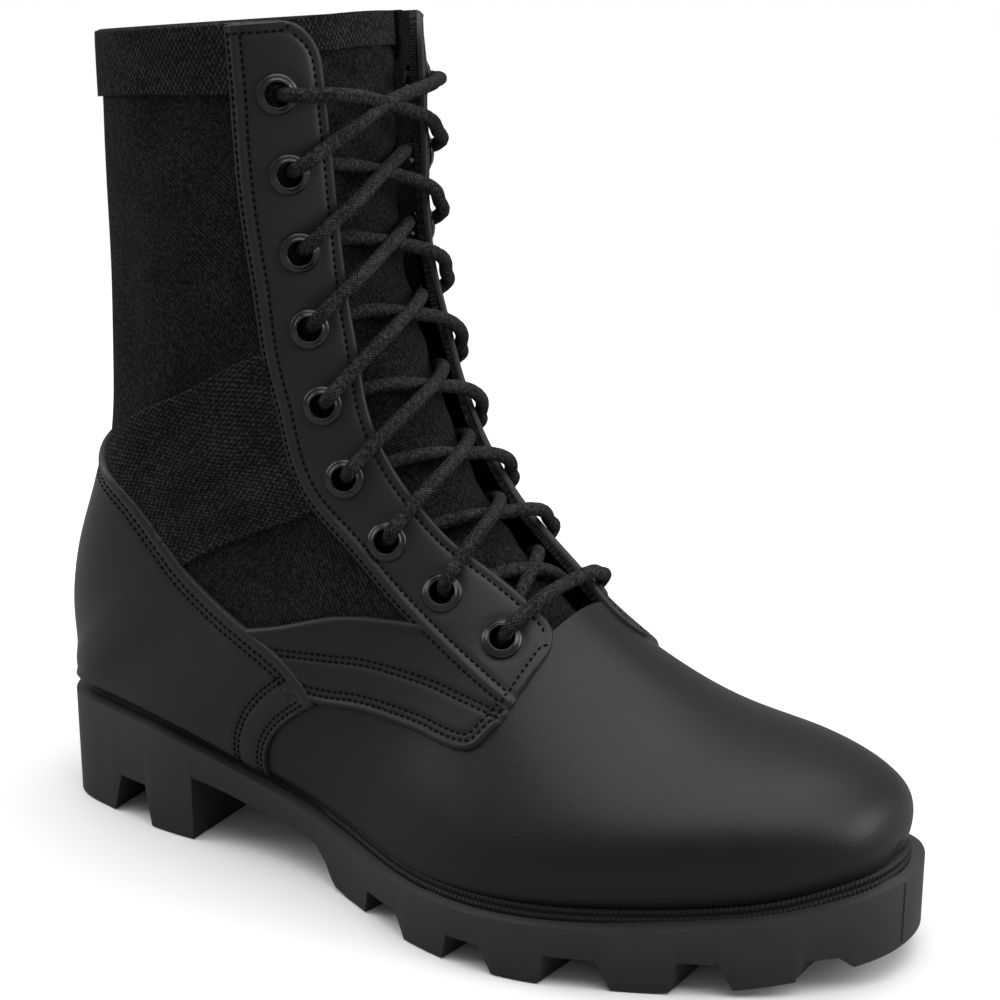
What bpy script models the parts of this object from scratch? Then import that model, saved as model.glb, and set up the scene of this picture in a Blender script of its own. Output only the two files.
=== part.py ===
"""Jungle boot, right foot: lugged outsole, welt, hollow upper, overlays, tongue, eyelets and lacing.

Metres, +Z up, toe towards +X, outer (lateral) side towards -Y, the sole on Z = 0.
"""

import math
from functools import lru_cache

import bpy
import bmesh
import numpy as np
from mathutils import Matrix, Vector

# Outsole
LENGTH = 0.308
BALL_WIDTH = 0.118
HEEL_EDGE = 0.038          # top edge of the outsole at the heel
FORE_EDGE = 0.0176         # top edge of the outsole at the ball
TOE_SPRING = 0.0092        # rise of the tread under the toe tip
LUG_DEPTH = 0.0082         # cuts between the forefoot lugs
HEEL_BREAST = 0.0745       # heel block, from the back to its front face
HEEL_BLOCK = 0.0225        # height of that face
HEEL_NOTCH = 0.0145        # height of the cuts across the heel block
EDGE_CHAMFER = 0.0012

# Layers between outsole and upper
FIT_GAP = 0.0003
WELT_HEIGHT = 0.0040
WELT_INSET = (0.0030, 0.0045)      # at the heel and at the toe
FEATHER_INSET = (0.0012, 0.0065)   # at the heel and at the toe
INSOLE_THICKNESS = 0.0040
INSOLE_PLAY = 0.0020

# Upper
BOOT_HEIGHT = 0.2710       # collar at the front
INSTEP_HEIGHT = 0.0960     # throat base above the floor
SHAFT_WIDTH = 0.0920
UPPER_WALL = 0.0022
THROAT_START = 8.3         # section where the vamp ends and the laced gap starts
FLAP_CORNER = 0.011        # rounding of the flaps at the collar
INSOLE_INSET = tuple(inset + UPPER_WALL + INSOLE_PLAY for inset in FEATHER_INSET)

# Tongue
TONGUE_WALL = 0.0024
TONGUE_UNDERLAP = 0.015    # how far it reaches under each flap
TONGUE_GAP = 0.0007        # under the vamp
LACE_ROOM = 0.0062         # between the flaps and the tongue
TONGUE_ROOT = 7.3          # section where the tongue is stitched under the vamp
TONGUE_TOP = 0.08          # how far past the collar it stands, in sections

# Overlays
OVERLAY_GAP = 0.0006
SEAM_GAP = 0.0008          # between overlays that meet edge to edge
LEATHER = 0.0017
WEBBING = 0.0013
EYESTAY_WIDTH = 0.034

# Eyelets and lace
EYELETS = 9
EYELET_RADIUS = 0.0062
EYELET_HOLE = 0.0036
EYELET_HEIGHT = 0.0016
EYELET_GAP = 0.0008
EYELET_INSET = 0.0146      # eyelet centre to the flap's front edge
EYELET_FIRST = 0.0215      # first eyelet below the collar
EYELET_LAST = 0.0095       # last eyelet above the throat's start
LACE_RADIUS = 0.0022
LACE_CLEARANCE = 0.0010


def smooth_curve(keys, rows):
    """Natural cubic spline through a table's rows, as a function of its key."""
    keys, rows = np.asarray(keys, float), np.asarray(rows, float)
    last = len(keys) - 1
    step = np.diff(keys)
    matrix, wanted = np.eye(last + 1), np.zeros_like(rows)
    for i in range(1, last):
        matrix[i, i - 1:i + 2] = step[i - 1], 2 * (step[i - 1] + step[i]), step[i]
        wanted[i] = 6 * ((rows[i + 1] - rows[i]) / step[i] - (rows[i] - rows[i - 1]) / step[i - 1])
    bend = np.linalg.solve(matrix, wanted)

    def at(key):
        i = np.clip(np.searchsorted(keys, key) - 1, 0, last - 1)
        near, far = (keys[i + 1] - key) / step[i], (key - keys[i]) / step[i]
        if rows.ndim > 1 and np.ndim(key):
            near, far, width = near[:, None], far[:, None], step[i][:, None]
        else:
            width = step[i]
        return (near * rows[i] + far * rows[i + 1]
                + ((near**3 - near) * bend[i] + (far**3 - far) * bend[i + 1]) * width**2 / 6)

    return at


SPRING_START = 0.805       # share of the length at which the tread leaves the floor

# Outline of the outsole: share of the length, then lateral and medial reach as shares of the ball width
OUTLINE = (
    (0.000, 0.000, 0.000),
    (0.013, 0.176, 0.170),
    (0.040, 0.277, 0.268),
    (0.100, 0.329, 0.320),
    (0.200, 0.364, 0.326),
    (0.320, 0.348, 0.309),
    (0.440, 0.394, 0.318),
    (0.540, 0.498, 0.369),
    (0.630, 0.544, 0.420),
    (0.710, 0.520, 0.449),
    (0.790, 0.437, 0.456),
    (0.860, 0.347, 0.432),
    (0.920, 0.254, 0.377),
    (0.965, 0.142, 0.301),
    (0.990, 0.051, 0.199),
    (1.000, -0.076, 0.076),
)

# Top edge of the outsole: share of the length, then height between the ball (0) and the heel (1)
EDGE_LINE = (
    (0.000, 0.97),
    (0.100, 1.00),
    (0.215, 0.85),
    (0.315, 0.48),
    (0.370, 0.30),
    (0.464, 0.075),
    (0.540, 0.000),
    (0.660, 0.025),
    (0.790, 0.095),
    (0.850, 0.165),
    (0.920, 0.325),
    (1.000, 0.635),
)


def spread(share):
    """Evenly wound angle for a share of the length, so that both ends come out round."""
    return np.arccos(1 - 2 * np.asarray(share, float))


outline_curve = smooth_curve(spread([row[0] for row in OUTLINE]), [row[1:] for row in OUTLINE])
edge_curve = smooth_curve([row[0] for row in EDGE_LINE], [row[1] for row in EDGE_LINE])


def edge_height(x):
    """Height of the outsole's top edge at x."""
    return FORE_EDGE + (HEEL_EDGE - FORE_EDGE) * edge_curve(np.clip(np.asarray(x, float) / LENGTH, 0, 1))


def tread_height(x):
    """Height of the tread: on the floor as far as the ball, then rising to the toe."""
    rise = np.clip((np.asarray(x, float) / LENGTH - SPRING_START) / (1 - SPRING_START), 0, 1)
    return TOE_SPRING * rise**1.6


@lru_cache(maxsize=None)
def outline(inset):
    """Lateral and medial edge of the sole moved in by inset: x, then y, from heel to toe."""
    wound = np.linspace(0, math.pi, 601)
    x = LENGTH * (1 - np.cos(wound)) / 2
    reach = BALL_WIDTH * outline_curve(wound)
    sides = []
    depth = (inset[0] + (inset[1] - inset[0]) * x / LENGTH)[:, None]
    for y, turn in ((-reach[:, 0], 1), (reach[:, 1], -1)):
        along = np.stack([np.gradient(x), np.gradient(y)], 1)
        along[0], along[-1] = (0, -turn), (0, turn)
        along /= np.linalg.norm(along, axis=1)[:, None]
        inwards = np.stack([-along[:, 1], along[:, 0]], 1) * turn
        moved = np.stack([x, y], 1) + depth * inwards
        sides.append(moved[np.argsort(moved[:, 0])])
    return sides


def sole_edges(x, inset):
    """y of the lateral and the medial edge at x."""
    return tuple(np.interp(x, side[:, 0], side[:, 1]) for side in outline(inset))


def sole_stations(inset, count):
    """Places along the sole, close together at its round ends."""
    start, end = outline(inset)[0][[0, -1], 0]
    return start + (end - start) * (1 - np.cos(np.linspace(0, math.pi, count + 1))) / 2


# Sections of the upper, from the toe's tip to the heel's lower edge.
# foot: lower end, share of the feather line's length. front and rise: upper end, shares of the outsole's length
# and of the instep's height. half: widest half width, share of the ball width. widest: at which share of the
# section's height. low and high: roundness below and above. ridge: sideways place of the upper end.
# gap: half of the laced gap, share of the ball width.
FOOT_SECTIONS = (
    # foot, front, rise, half, widest, low, high, ridge, gap
    (1.0000, 0.9790, 0.380, 0.000, 0.35, 2.0, 2.0, 0.076, 0.000),
    (0.9930, 0.9790, 0.448, 0.105, 0.35, 2.0, 2.0, 0.074, 0.010),
    (0.9724, 0.9680, 0.526, 0.205, 0.35, 2.0, 2.0, 0.070, 0.030),
    (0.9354, 0.9440, 0.580, 0.285, 0.34, 2.0, 2.0, 0.062, 0.055),
    (0.8852, 0.9120, 0.620, 0.352, 0.33, 2.0, 2.0, 0.050, 0.080),
    (0.8206, 0.8640, 0.655, 0.410, 0.31, 2.0, 2.0, 0.038, 0.100),
    (0.7447, 0.8050, 0.690, 0.448, 0.29, 2.0, 1.9, 0.030, 0.113),
    (0.6627, 0.7354, 0.762, 0.457, 0.27, 2.0, 1.9, 0.028, 0.120),
    (0.5745, 0.6542, 0.915, 0.422, 0.26, 2.0, 1.9, 0.032, 0.123),
    (0.4883, 0.6071, 1.046, 0.378, 0.28, 2.0, 2.0, 0.038, 0.136),
    (0.4063, 0.5682, 1.141, 0.354, 0.32, 2.0, 2.2, 0.042, 0.154),
    (0.3242, 0.5357, 1.234, 0.347, 0.36, 2.0, 2.3, 0.045, 0.178),
    (0.2350, 0.5081, 1.339, 0.347, 0.40, 2.0, 2.4, 0.047, 0.195),
    (0.1416, 0.4860, 1.453, 0.347, 0.43, 2.0, 2.5, 0.048, 0.208),
    (0.0656, 0.4670, 1.578, 0.350, 0.46, 2.0, 2.6, 0.048, 0.217),
    (0.0175, 0.4480, 1.708, 0.352, 0.48, 2.2, 2.7, 0.048, 0.214),
    (0.0000, 0.4312, 1.844, 0.354, 0.50, 2.3, 2.8, 0.048, 0.205),
)

# Sections from the heel's lower edge up to the collar: both ends as shares of the length and of the height that is
# left above the last foot section's own end. The other columns are as above, with widths as shares of the shaft's,
# and shift for the middle of the back.
SHAFT_SECTIONS = (
    # back, back_rise, front, front_rise, half, widest, low, high, shift, ridge, gap
    (-0.0080, 0.0627, 0.4172, 0.1378, 0.455, 0.50, 2.2, 2.8, 0.000, 0.062, 0.252),
    (0.0070, 0.1558, 0.4075, 0.2646, 0.462, 0.50, 2.2, 2.8, 0.010, 0.062, 0.247),
    (0.0390, 0.2602, 0.4010, 0.3915, 0.472, 0.50, 2.2, 2.8, 0.025, 0.062, 0.249),
    (0.0620, 0.3819, 0.3980, 0.5127, 0.480, 0.50, 2.2, 2.8, 0.040, 0.062, 0.256),
    (0.0685, 0.5153, 0.3960, 0.6338, 0.487, 0.50, 2.2, 2.8, 0.052, 0.062, 0.263),
    (0.0700, 0.6660, 0.3938, 0.7549, 0.493, 0.50, 2.2, 2.8, 0.060, 0.062, 0.270),
    (0.0720, 0.8226, 0.3910, 0.8760, 0.498, 0.50, 2.2, 2.8, 0.062, 0.062, 0.277),
    (0.0740, 0.9692, 0.3870, 1.0000, 0.500, 0.50, 2.2, 2.8, 0.062, 0.062, 0.285),
)
HEEL_TURN = len(FOOT_SECTIONS) - 1
COLLAR = HEEL_TURN + len(SHAFT_SECTIONS)
CORNER_SECTIONS = 1.1      # sections below the collar over which the flap's corner is rounded


def feather_height(x):
    """Height of the line where the upper leaves the welt."""
    return edge_height(x) + WELT_HEIGHT + 4 * FIT_GAP


def section_rows():
    """Both tables in metres: lower end x, z, y, then upper end x, z, y, half width, shape, gap."""
    heel_tip, toe_tip = outline(FEATHER_INSET)[0][[0, -1], 0]
    rows = []
    for foot, front, rise, half, widest, low, high, ridge, gap in FOOT_SECTIONS:
        x = heel_tip + foot * (toe_tip - heel_tip)
        rows.append((x, float(feather_height(x)), sum(sole_edges(x, FEATHER_INSET)) / 2,
                     front * LENGTH, rise * INSTEP_HEIGHT,
                     ridge * BALL_WIDTH, half * BALL_WIDTH, widest, low, high, gap * BALL_WIDTH))
    heel_end, instep_end = rows[-1][1], rows[-1][4]
    for back, low_end, front, high_end, half, widest, low, high, shift, ridge, gap in SHAFT_SECTIONS:
        rows.append((back * LENGTH, heel_end + low_end * (BOOT_HEIGHT - heel_end), shift * SHAFT_WIDTH,
                     front * LENGTH, instep_end + high_end * (BOOT_HEIGHT - instep_end), ridge * SHAFT_WIDTH,
                     half * SHAFT_WIDTH, widest, low, high, gap * SHAFT_WIDTH))
    return rows


section_curve = smooth_curve(range(COLLAR + 1), section_rows())
PROFILE_ANGLES = np.linspace(0, math.pi / 2, 41)


@lru_cache(maxsize=None)
def profile(section, side):
    """Points of one half section from its lower end to the ridge, and their shares of its length."""
    (low_x, low_z, low_y, high_x, high_z, high_y, half, widest, low, high, _) = section_curve(section)
    start = 0.0
    if section <= HEEL_TURN:
        low_z = feather_height(low_x)
        edges = sole_edges(low_x, FEATHER_INSET)
        low_y, start = sum(edges) / 2, (edges[1] - edges[0]) / 2
        if section == 0:
            high_x, high_z, half = low_x, low_z, 0.0
    half = max(half, start)
    sine, cosine = np.sin(PROFILE_ANGLES), np.cos(PROFILE_ANGLES)
    height = np.concatenate([widest * (1 - cosine ** (2 / low)),
                             widest + (1 - widest) * sine[1:] ** (2 / high)])
    reach = np.concatenate([start + (half - start) * sine ** (2 / low),
                            half * cosine[1:].clip(0) ** (2 / high)])
    middle = low_y + (high_y - low_y) * height * height * (3 - 2 * height)
    points = np.stack([low_x + (high_x - low_x) * height, middle + side * reach,
                       low_z + (high_z - low_z) * height], 1)
    length = np.concatenate([[0], np.cumsum(np.linalg.norm(np.diff(points, axis=0), axis=1))])
    return points, length


def skin(section, share, side):
    """Point on the outside of the upper: share 0 is the section's lower end, 1 the ridge."""
    points, length = profile(round(float(section), 6), side)
    place = share * length[-1]
    return np.array([np.interp(place, length, points[:, axis]) for axis in range(3)])


def skin_lifted(section, share, side, lift):
    """The same point moved out along the normal."""
    here, step = skin(section, share, side), 0.02
    low, high = max(share - step, 0), min(share + step, 1)
    across = skin(section, high, side) - skin(section, low, side)
    before, after = max(section - 0.12, 0.12), section + 0.12
    if share < step and section < HEEL_TURN:
        after = min(after, HEEL_TURN)
    elif share < step:
        before = max(before, HEEL_TURN)
    along = skin(after, share, side) - skin(before, share, side)
    normal = np.cross(along, across) * side
    size = np.linalg.norm(normal)
    return here + lift * normal / size if size else here


def profile_length(section, side):
    return float(profile(round(float(section), 6), side)[1][-1])


@lru_cache(maxsize=None)
def gap_share(section, side):
    """Share at which the laced gap's edge lies, without the rounded corner."""
    points, length = profile(round(float(section), 6), side)
    row = section_curve(section)
    reach = np.abs(points[:, 1] - row[5])
    past = np.nonzero((reach < row[10]) & (length > length[-1] / 2))[0]
    if not len(past) or not length[-1]:
        return 1.0
    k = past[0]
    part = (reach[k - 1] - row[10]) / (reach[k - 1] - reach[k])
    return float((length[k - 1] + part * (length[k] - length[k - 1])) / length[-1])


def flap_share(section, side):
    """Share at which the flap's edge lies, with its corner rounded at the collar."""
    if section < HEEL_TURN:
        return gap_share(round(float(section), 6), side)
    turn = min(max((section - COLLAR + CORNER_SECTIONS) / CORNER_SECTIONS, 0), 1)
    return flap_offset(section, side, FLAP_CORNER * (1 - math.sqrt(1 - turn**2)))


def flap_offset(section, side, distance):
    """Share that lies this far behind the flap's edge."""
    return gap_share(round(float(section), 6), side) - distance / profile_length(section, side)


def new_mesh(name, points, faces):
    mesh = bpy.data.meshes.new(name)
    mesh.from_pydata([tuple(map(float, point)) for point in points], [], faces)
    mesh.validate()
    return mesh


def closed_mesh(name, points, faces):
    """Mesh of a closed form, with its faces turned outwards."""
    mesh = new_mesh(name, points, faces)
    work = bmesh.new()
    work.from_mesh(mesh)
    bmesh.ops.recalc_face_normals(work, faces=work.faces)
    work.to_mesh(mesh)
    work.free()
    return mesh


VAMP_ROWS = np.linspace(0, THROAT_START, 11)
UPPER_ROWS = (*VAMP_ROWS, *np.linspace(THROAT_START, HEEL_TURN, 14)[1:],
              HEEL_TURN + 0.3, *np.linspace(HEEL_TURN, COLLAR - CORNER_SECTIONS, 8)[1:],
              *(COLLAR - CORNER_SECTIONS * (1 - np.sin(np.linspace(0, math.pi / 2, 5)[1:]))))
UPPER_COLUMNS = 9
RIDGE_COLUMNS = 3
END_CROWDING = 0.15        # how much closer together the columns lie at the sole, the back and the flap


def upper_shell(name, lift=0.0, foot=lambda section: 0.0):
    """Open surface over the whole upper: rows are sections, columns run from the foot to the flap or the ridge."""
    points, index = [], {}

    def corner(row, column, side):
        section = UPPER_ROWS[row]
        if row == 0:
            key = "toe"
        elif column == 0 and section >= HEEL_TURN and not (section == HEEL_TURN and foot(section)):
            key = (row, column, 0)
        elif column == UPPER_COLUMNS + RIDGE_COLUMNS:
            key = (row, column, 0)
        else:
            key = (row, column, side)
        if key not in index:
            edge = flap_share(section, side)
            across = min(column / UPPER_COLUMNS, 1)
            share = edge * (across - END_CROWDING * math.sin(math.tau * across) / math.tau)
            if column == 0 and section <= HEEL_TURN:
                share = foot(section)
            share += (1 - edge) * max(column - UPPER_COLUMNS, 0) / RIDGE_COLUMNS
            index[key] = len(points)
            points.append(skin_lifted(section, share, side, lift) if lift else skin(section, share, side))
        return index[key]

    faces = []
    for side in (-1, 1):
        for row in range(len(UPPER_ROWS) - 1):
            for column in range(UPPER_COLUMNS + (RIDGE_COLUMNS if row + 1 < len(VAMP_ROWS) else 0)):
                loop = [corner(row, column, side), corner(row + 1, column, side),
                        corner(row + 1, column + 1, side), corner(row, column + 1, side)]
                for face in (loop[:3], [loop[0], *loop[2:]]):
                    if len(set(face)) == 3:
                        faces.append(face if side > 0 else face[::-1])
    return new_mesh(name, points, faces)


def slab_mesh(name, inset, count, low, high, chamfer=0.0):
    """Closed plate with the sole's outline: low and high give its two heights at x."""
    stations = sole_stations(inset, count)
    points, rings = [], []
    for x in stations:
        lateral, medial = sole_edges(x, inset)
        bottom, top = float(low(x)), float(high(x))
        cut = min(chamfer, (medial - lateral) / 3)
        if x in (stations[0], stations[-1]):
            middle = (lateral + medial) / 2
            ring = [(x, middle, bottom), (x, middle, bottom + chamfer), (x, middle, top)]
            order = (0, 1, 2, 2, 1, 0)
        else:
            ring = [(x, lateral + cut, bottom), (x, lateral, bottom + chamfer), (x, lateral, top),
                    (x, medial, top), (x, medial, bottom + chamfer), (x, medial - cut, bottom)]
            order = range(6)
        if not chamfer:
            keep = (0, 2, 3, 5) if len(ring) == 6 else (0, 2, 2, 0)
            ring = [ring[k] for k in (keep if len(ring) == 6 else (0, 2))]
            order = range(4) if len(ring) == 4 else (0, 1, 1, 0)
        start = len(points)
        points += ring
        rings.append([start + k for k in order])
    faces = []
    sides = len(rings[0])
    for near, far in zip(rings, rings[1:]):
        for k in range(sides):
            n = (k + 1) % sides
            loop = [near[k], near[n], far[n], far[k]]
            loop = [v for i, v in enumerate(loop) if v != loop[i - 1]]
            if len(set(loop)) > 2:
                faces.append(loop)
    return closed_mesh(name, points, faces)


boot = bpy.data.collections.new("jungle_boot")
cutters = bpy.data.collections.new("cutters")
for old in list(bpy.data.objects):
    bpy.data.objects.remove(old, do_unlink=True)
bpy.context.scene.collection.children.link(boot)
bpy.context.scene.collection.children.link(cutters)


def finish(name, colour, roughness, metallic=0.0):
    """A Principled material."""
    material = bpy.data.materials.new(name)
    material.use_nodes = True
    shader = material.node_tree.nodes["Principled BSDF"]
    shader.inputs["Base Color"].default_value = (*colour, 1.0)
    shader.inputs["Roughness"].default_value = roughness
    shader.inputs["Metallic"].default_value = metallic
    return material


RUBBER = finish("black rubber", (0.035, 0.035, 0.037), 0.7)
HIDE = finish("black leather", (0.028, 0.028, 0.030), 0.45)
CANVAS = finish("black canvas", (0.010, 0.010, 0.011), 0.9)
CORD = finish("black cord", (0.012, 0.012, 0.013), 0.8)
ENAMEL = finish("black enamelled brass", (0.015, 0.015, 0.016), 0.3, 0.4)


def place(name, mesh, material, collection=boot):
    thing = bpy.data.objects.new(name, mesh)
    mesh.materials.append(material)
    mesh.shade_smooth()
    mesh.set_sharp_from_angle(angle=math.radians(40))
    collection.objects.link(thing)
    return thing


def thicken(thing, thickness, offset):
    """Wall thickness by Solidify: offset 1 outwards from the surface, -1 inwards."""
    wall = thing.modifiers.new("wall", "SOLIDIFY")
    wall.thickness = thickness
    wall.offset = offset
    wall.use_rim = True
    return wall


def loft_block(name, rings):
    """Closed block through rings of equally many points."""
    size = len(rings[0])
    faces = [[i * size + k, i * size + (k + 1) % size, (i + 1) * size + (k + 1) % size, (i + 1) * size + k]
             for i in range(len(rings) - 1) for k in range(size)]
    faces += [list(range(size))[::-1], [(len(rings) - 1) * size + k for k in range(size)]]
    return closed_mesh(name, [point for ring in rings for point in ring], faces)


def cut(thing, mesh, operation="DIFFERENCE"):
    """Boolean with a helper that stays out of the render."""
    helper = bpy.data.objects.new(mesh.name, mesh)
    cutters.objects.link(helper)
    helper.hide_render = True
    helper.display_type = "WIRE"
    boolean = thing.modifiers.new(mesh.name, "BOOLEAN")
    boolean.operation = operation
    boolean.object = helper
    boolean.solver = "EXACT"
    return helper


# Arch between heel block and ball: share of the length, then height as a share of the heel block
ARCH = (
    (0.282, 0.889),
    (0.313, 0.782),
    (0.346, 0.716),
    (0.384, 0.640),
    (0.408, 0.547),
    (0.4224, 0.351),
    (0.433, 0.124),
    (0.4396, 0.049),
    (0.462, 0.000),
)
# Cuts between the forefoot lugs: start and end on the tread as shares of the length, depth as a share of LUG_DEPTH
NOTCHES = (
    (0.487, 0.557, 0.95),
    (0.608, 0.665, 1.00),
    (0.713, 0.776, 1.12),
    (0.828, 0.881, 1.10),
    (0.930, 0.973, 0.62),
)
BREAST_HOLLOW = 0.005      # how far the heel block's front face curves in at the middle
BREAST_SKEW = 0.0085       # how much further forward it reaches on the medial side
NOTCH_SKEW = 0.009         # how far a cut's inner end lies ahead of its outer end
NOTCH_LEAN = (0.0015, 0.0043)      # slope of a cut's rear and front face
HEEL_CUT = (0.0348, 0.0543)        # cut across the heel block
HEEL_LEAN = (0.0046, 0.0026)
RIB = 0.009                # uncut strip along the middle of the tread
MEDIAL_STAGGER = 0.009     # medial cuts lie this much further back
BELOW = 0.006              # how far the cutters reach below the floor and past the sides

outsole = place("outsole", slab_mesh("outsole", (0.0, 0.0), 38, tread_height, edge_height, EDGE_CHAMFER), RUBBER)
arch_rings = []
for across, forward in ((-0.6, 0.0), (0.0, -BREAST_HOLLOW), (0.6, BREAST_SKEW)):
    ring = [(HEEL_BREAST + forward, across * BALL_WIDTH, -BELOW),
            (HEEL_BREAST + forward, across * BALL_WIDTH, HEEL_BLOCK)]
    ring += [(share * LENGTH, across * BALL_WIDTH, height * HEEL_BLOCK) for share, height in ARCH]
    ring.append((ARCH[-1][0] * LENGTH + BELOW, across * BALL_WIDTH, -BELOW))
    arch_rings.append(ring)
cut(outsole, loft_block("arch", arch_rings))


def notch(name, start, end, depth, lean, skew, side):
    """Wedge from outside the sole in to the rib: wide on the tread, narrow at the top."""
    edge = sole_edges((start + end) / 2, (0.0, 0.0))
    middle = sum(edge) / 2
    outer = edge[0] - BELOW if side < 0 else edge[1] + BELOW
    floor = float(tread_height((start + end) / 2))
    rings = []
    for y, forward in ((outer, 0.0), (middle + side * RIB / 2, skew)):
        below = (floor + BELOW) / depth
        rings.append([(start + forward - lean[0] * below, y, -BELOW),
                      (end + forward + lean[1] * below, y, -BELOW),
                      (end + forward - lean[1], y, floor + depth),
                      (start + forward + lean[0], y, floor + depth)])
    return loft_block(name, rings)


for side, label, back in ((-1, "lateral", 0.0), (1, "medial", MEDIAL_STAGGER)):
    cut(outsole, notch(f"heel_notch_{label}", *HEEL_CUT, HEEL_NOTCH, HEEL_LEAN, -NOTCH_SKEW / 2, side))
    for number, (start, end, depth) in enumerate(NOTCHES):
        cut(outsole, notch(f"notch_{label}_{number + 1}", start * LENGTH - back, end * LENGTH - back,
                           depth * LUG_DEPTH, NOTCH_LEAN, NOTCH_SKEW * (1 - 0.2 * number), side))

place("welt", slab_mesh("welt", WELT_INSET, 38, lambda x: edge_height(x) + FIT_GAP,
                        lambda x: edge_height(x) + FIT_GAP + WELT_HEIGHT), RUBBER)
place("insole", slab_mesh("insole", INSOLE_INSET, 36, feather_height,
                          lambda x: feather_height(x) + INSOLE_THICKNESS), CANVAS)
upper = place("upper", upper_shell("upper"), HIDE)
thicken(upper, UPPER_WALL, -1)


# Back edge of the eyestay: section, then width as a share of EYESTAY_WIDTH
EYESTAY_BACK = (
    (8.0, 0.90),
    (9.5, 0.88),
    (10.9, 0.79),
    (12.2, 0.77),
    (13.9, 0.88),
    (15.4, 0.94),
    (17.0, 1.00),
    (18.9, 1.00),
    (20.9, 0.97),
    (22.6, 0.86),
    (24.0, 0.80),
)
# Edges of the other overlays: section, share
COUNTER_TOP = (
    (10.7, 0.283),
    (11.4, 0.333),
    (12.4, 0.358),
    (13.4, 0.383),
    (14.6, 0.417),
    (16.5, 0.450),
    (17.7, 0.383),
    (19.3, 0.233),
    (20.4, 0.000),
)
QUARTER_LOW = (
    (10.66, 0.300),
    (10.1, 0.342),
    (9.5, 0.367),
    (8.9, 0.383),
    (8.5, 0.388),
    (8.2, 0.402),
    (8.04, 0.442),
)
QUARTER_HIGH = (
    (12.3, 0.372),
    (12.1, 0.417),
    (11.8, 0.483),
    (11.3, 0.550),
    (10.8, 0.585),
)
ANKLE_HIGH = ((19.2, 0.270), (18.9, 0.433), (18.2, 0.575), (17.9, 0.650), (17.55, 0.700))
ANKLE_LOW = ((14.5, 0.432), (14.2, 0.508), (13.8, 0.583), (13.55, 0.640))
COLLAR_LOW = ((23.35, 0.0), (23.3, 0.267), (23.1, 0.467), (22.75, 0.635))
COUNTER_FRONT = 10.75
PATCH_MARGIN = 0.003       # how far the patches that cut the overlays stand out on both sides
PAST = 0.0015              # how far they pass the flap's edge and the collar
# Lower edge of the counter, a little above the welt: section, share
COUNTER_FOOT = (
    (10.75, 0.024),
    (13.0, 0.022),
    (14.5, 0.030),
    (15.0, 0.040),
    (15.6, 0.050),
    (16.0, 0.058),
)

back_curve = smooth_curve([row[0] for row in EYESTAY_BACK], [row[1] for row in EYESTAY_BACK])
counter_curve = smooth_curve([row[0] for row in COUNTER_TOP], [row[1] for row in COUNTER_TOP])


def foot_share(section):
    """Share at which the overlays start above the welt."""
    return float(np.interp(section, [row[0] for row in COUNTER_FOOT], [row[1] for row in COUNTER_FOOT]))


def back_share(section, side, gap=0.0):
    """Share at which the eyestay's back edge lies, or a seam's gap behind it."""
    return flap_offset(section, side, EYESTAY_WIDTH * float(back_curve(section)) + gap)


def along(table):
    """Curve through (section, share) rows, for u from 0 to 1."""
    table = np.array(table, float)
    steps = np.linalg.norm(np.diff(table, axis=0) * (1, 12), axis=1)
    return smooth_curve(np.concatenate([[0], np.cumsum(steps)]) / steps.sum(), table)


def between(low, high, rear, front):
    """Place on a patch with four edges: u runs from rear to front and v from low to high."""
    def place_at(u, v):
        corners = ((1 - u) * (1 - v) * rear(0.0) + u * (1 - v) * front(0.0)
                   + (1 - u) * v * rear(1.0) + u * v * front(1.0))
        return (1 - v) * low(u) + v * high(u) + (1 - u) * rear(v) + u * front(v) - corners

    return place_at


def sheet(name, place_at, us, vs, sides, lift, joined=lambda u, v: False):
    """Open surface over the skin: place_at(u, v, side) gives section and share, lift the height over the skin."""
    points, index, faces = [], {}, []

    def corner(u, v, side):
        key = (u, v, 0 if joined(u, v) else side)
        if key not in index:
            section, share = place_at(u, v, side)
            index[key] = len(points)
            points.append(skin_lifted(section, share, side, lift(section)))
        return index[key]

    for side in sides:
        loops = []
        for u, next_u in zip(us, us[1:]):
            for v, next_v in zip(vs, vs[1:]):
                loop = [corner(u, v, side), corner(next_u, v, side),
                        corner(next_u, next_v, side), corner(u, next_v, side)]
                loops.append([k for i, k in enumerate(loop) if k != loop[i - 1]])
        section, share = place_at(us[len(us) // 2], vs[len(vs) // 2], side)
        up = skin_lifted(section, share, side, 1.0) - skin(section, share, side)
        middle = loops[len(loops) // 2]
        a, b, c = (points[k] for k in middle[:3])
        faces += loops if np.cross(b - a, c - b) @ up > 0 else [loop[::-1] for loop in loops]
    return new_mesh(name, points, faces)


def overlay(name, place_at, us, vs, sides, material, thickness, joined=lambda u, v: False):
    """Overlay cut out of a shell over the whole upper by a thicker patch with the overlay's outline."""
    piece = place(name, upper_shell(name, OVERLAY_GAP, foot_share), material)
    thicken(piece, thickness, 1)
    patch = sheet(f"{name}_patch", place_at, us, vs, sides, lambda section: OVERLAY_GAP + thickness / 2, joined)
    thicken(cut(piece, patch, "INTERSECT"), thickness + 2 * PATCH_MARGIN, 0)
    return piece


def eyestay_at(u, v, side):
    """u runs up the flap, v from the flap's edge to the back edge."""
    section = THROAT_START - 0.3 + (COLLAR - THROAT_START + 0.4) * u
    front, back = flap_share(section, side), back_share(section, side)
    rounded = max(0.0, 1 - (section - THROAT_START + 0.3) / 0.7)
    front -= 0.045 * rounded**2
    front += (PAST if rounded < 0.2 else 0) / profile_length(section, side)
    return section + 0.15 * rounded**3 * (1 - v), front + (back - front) * v


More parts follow.
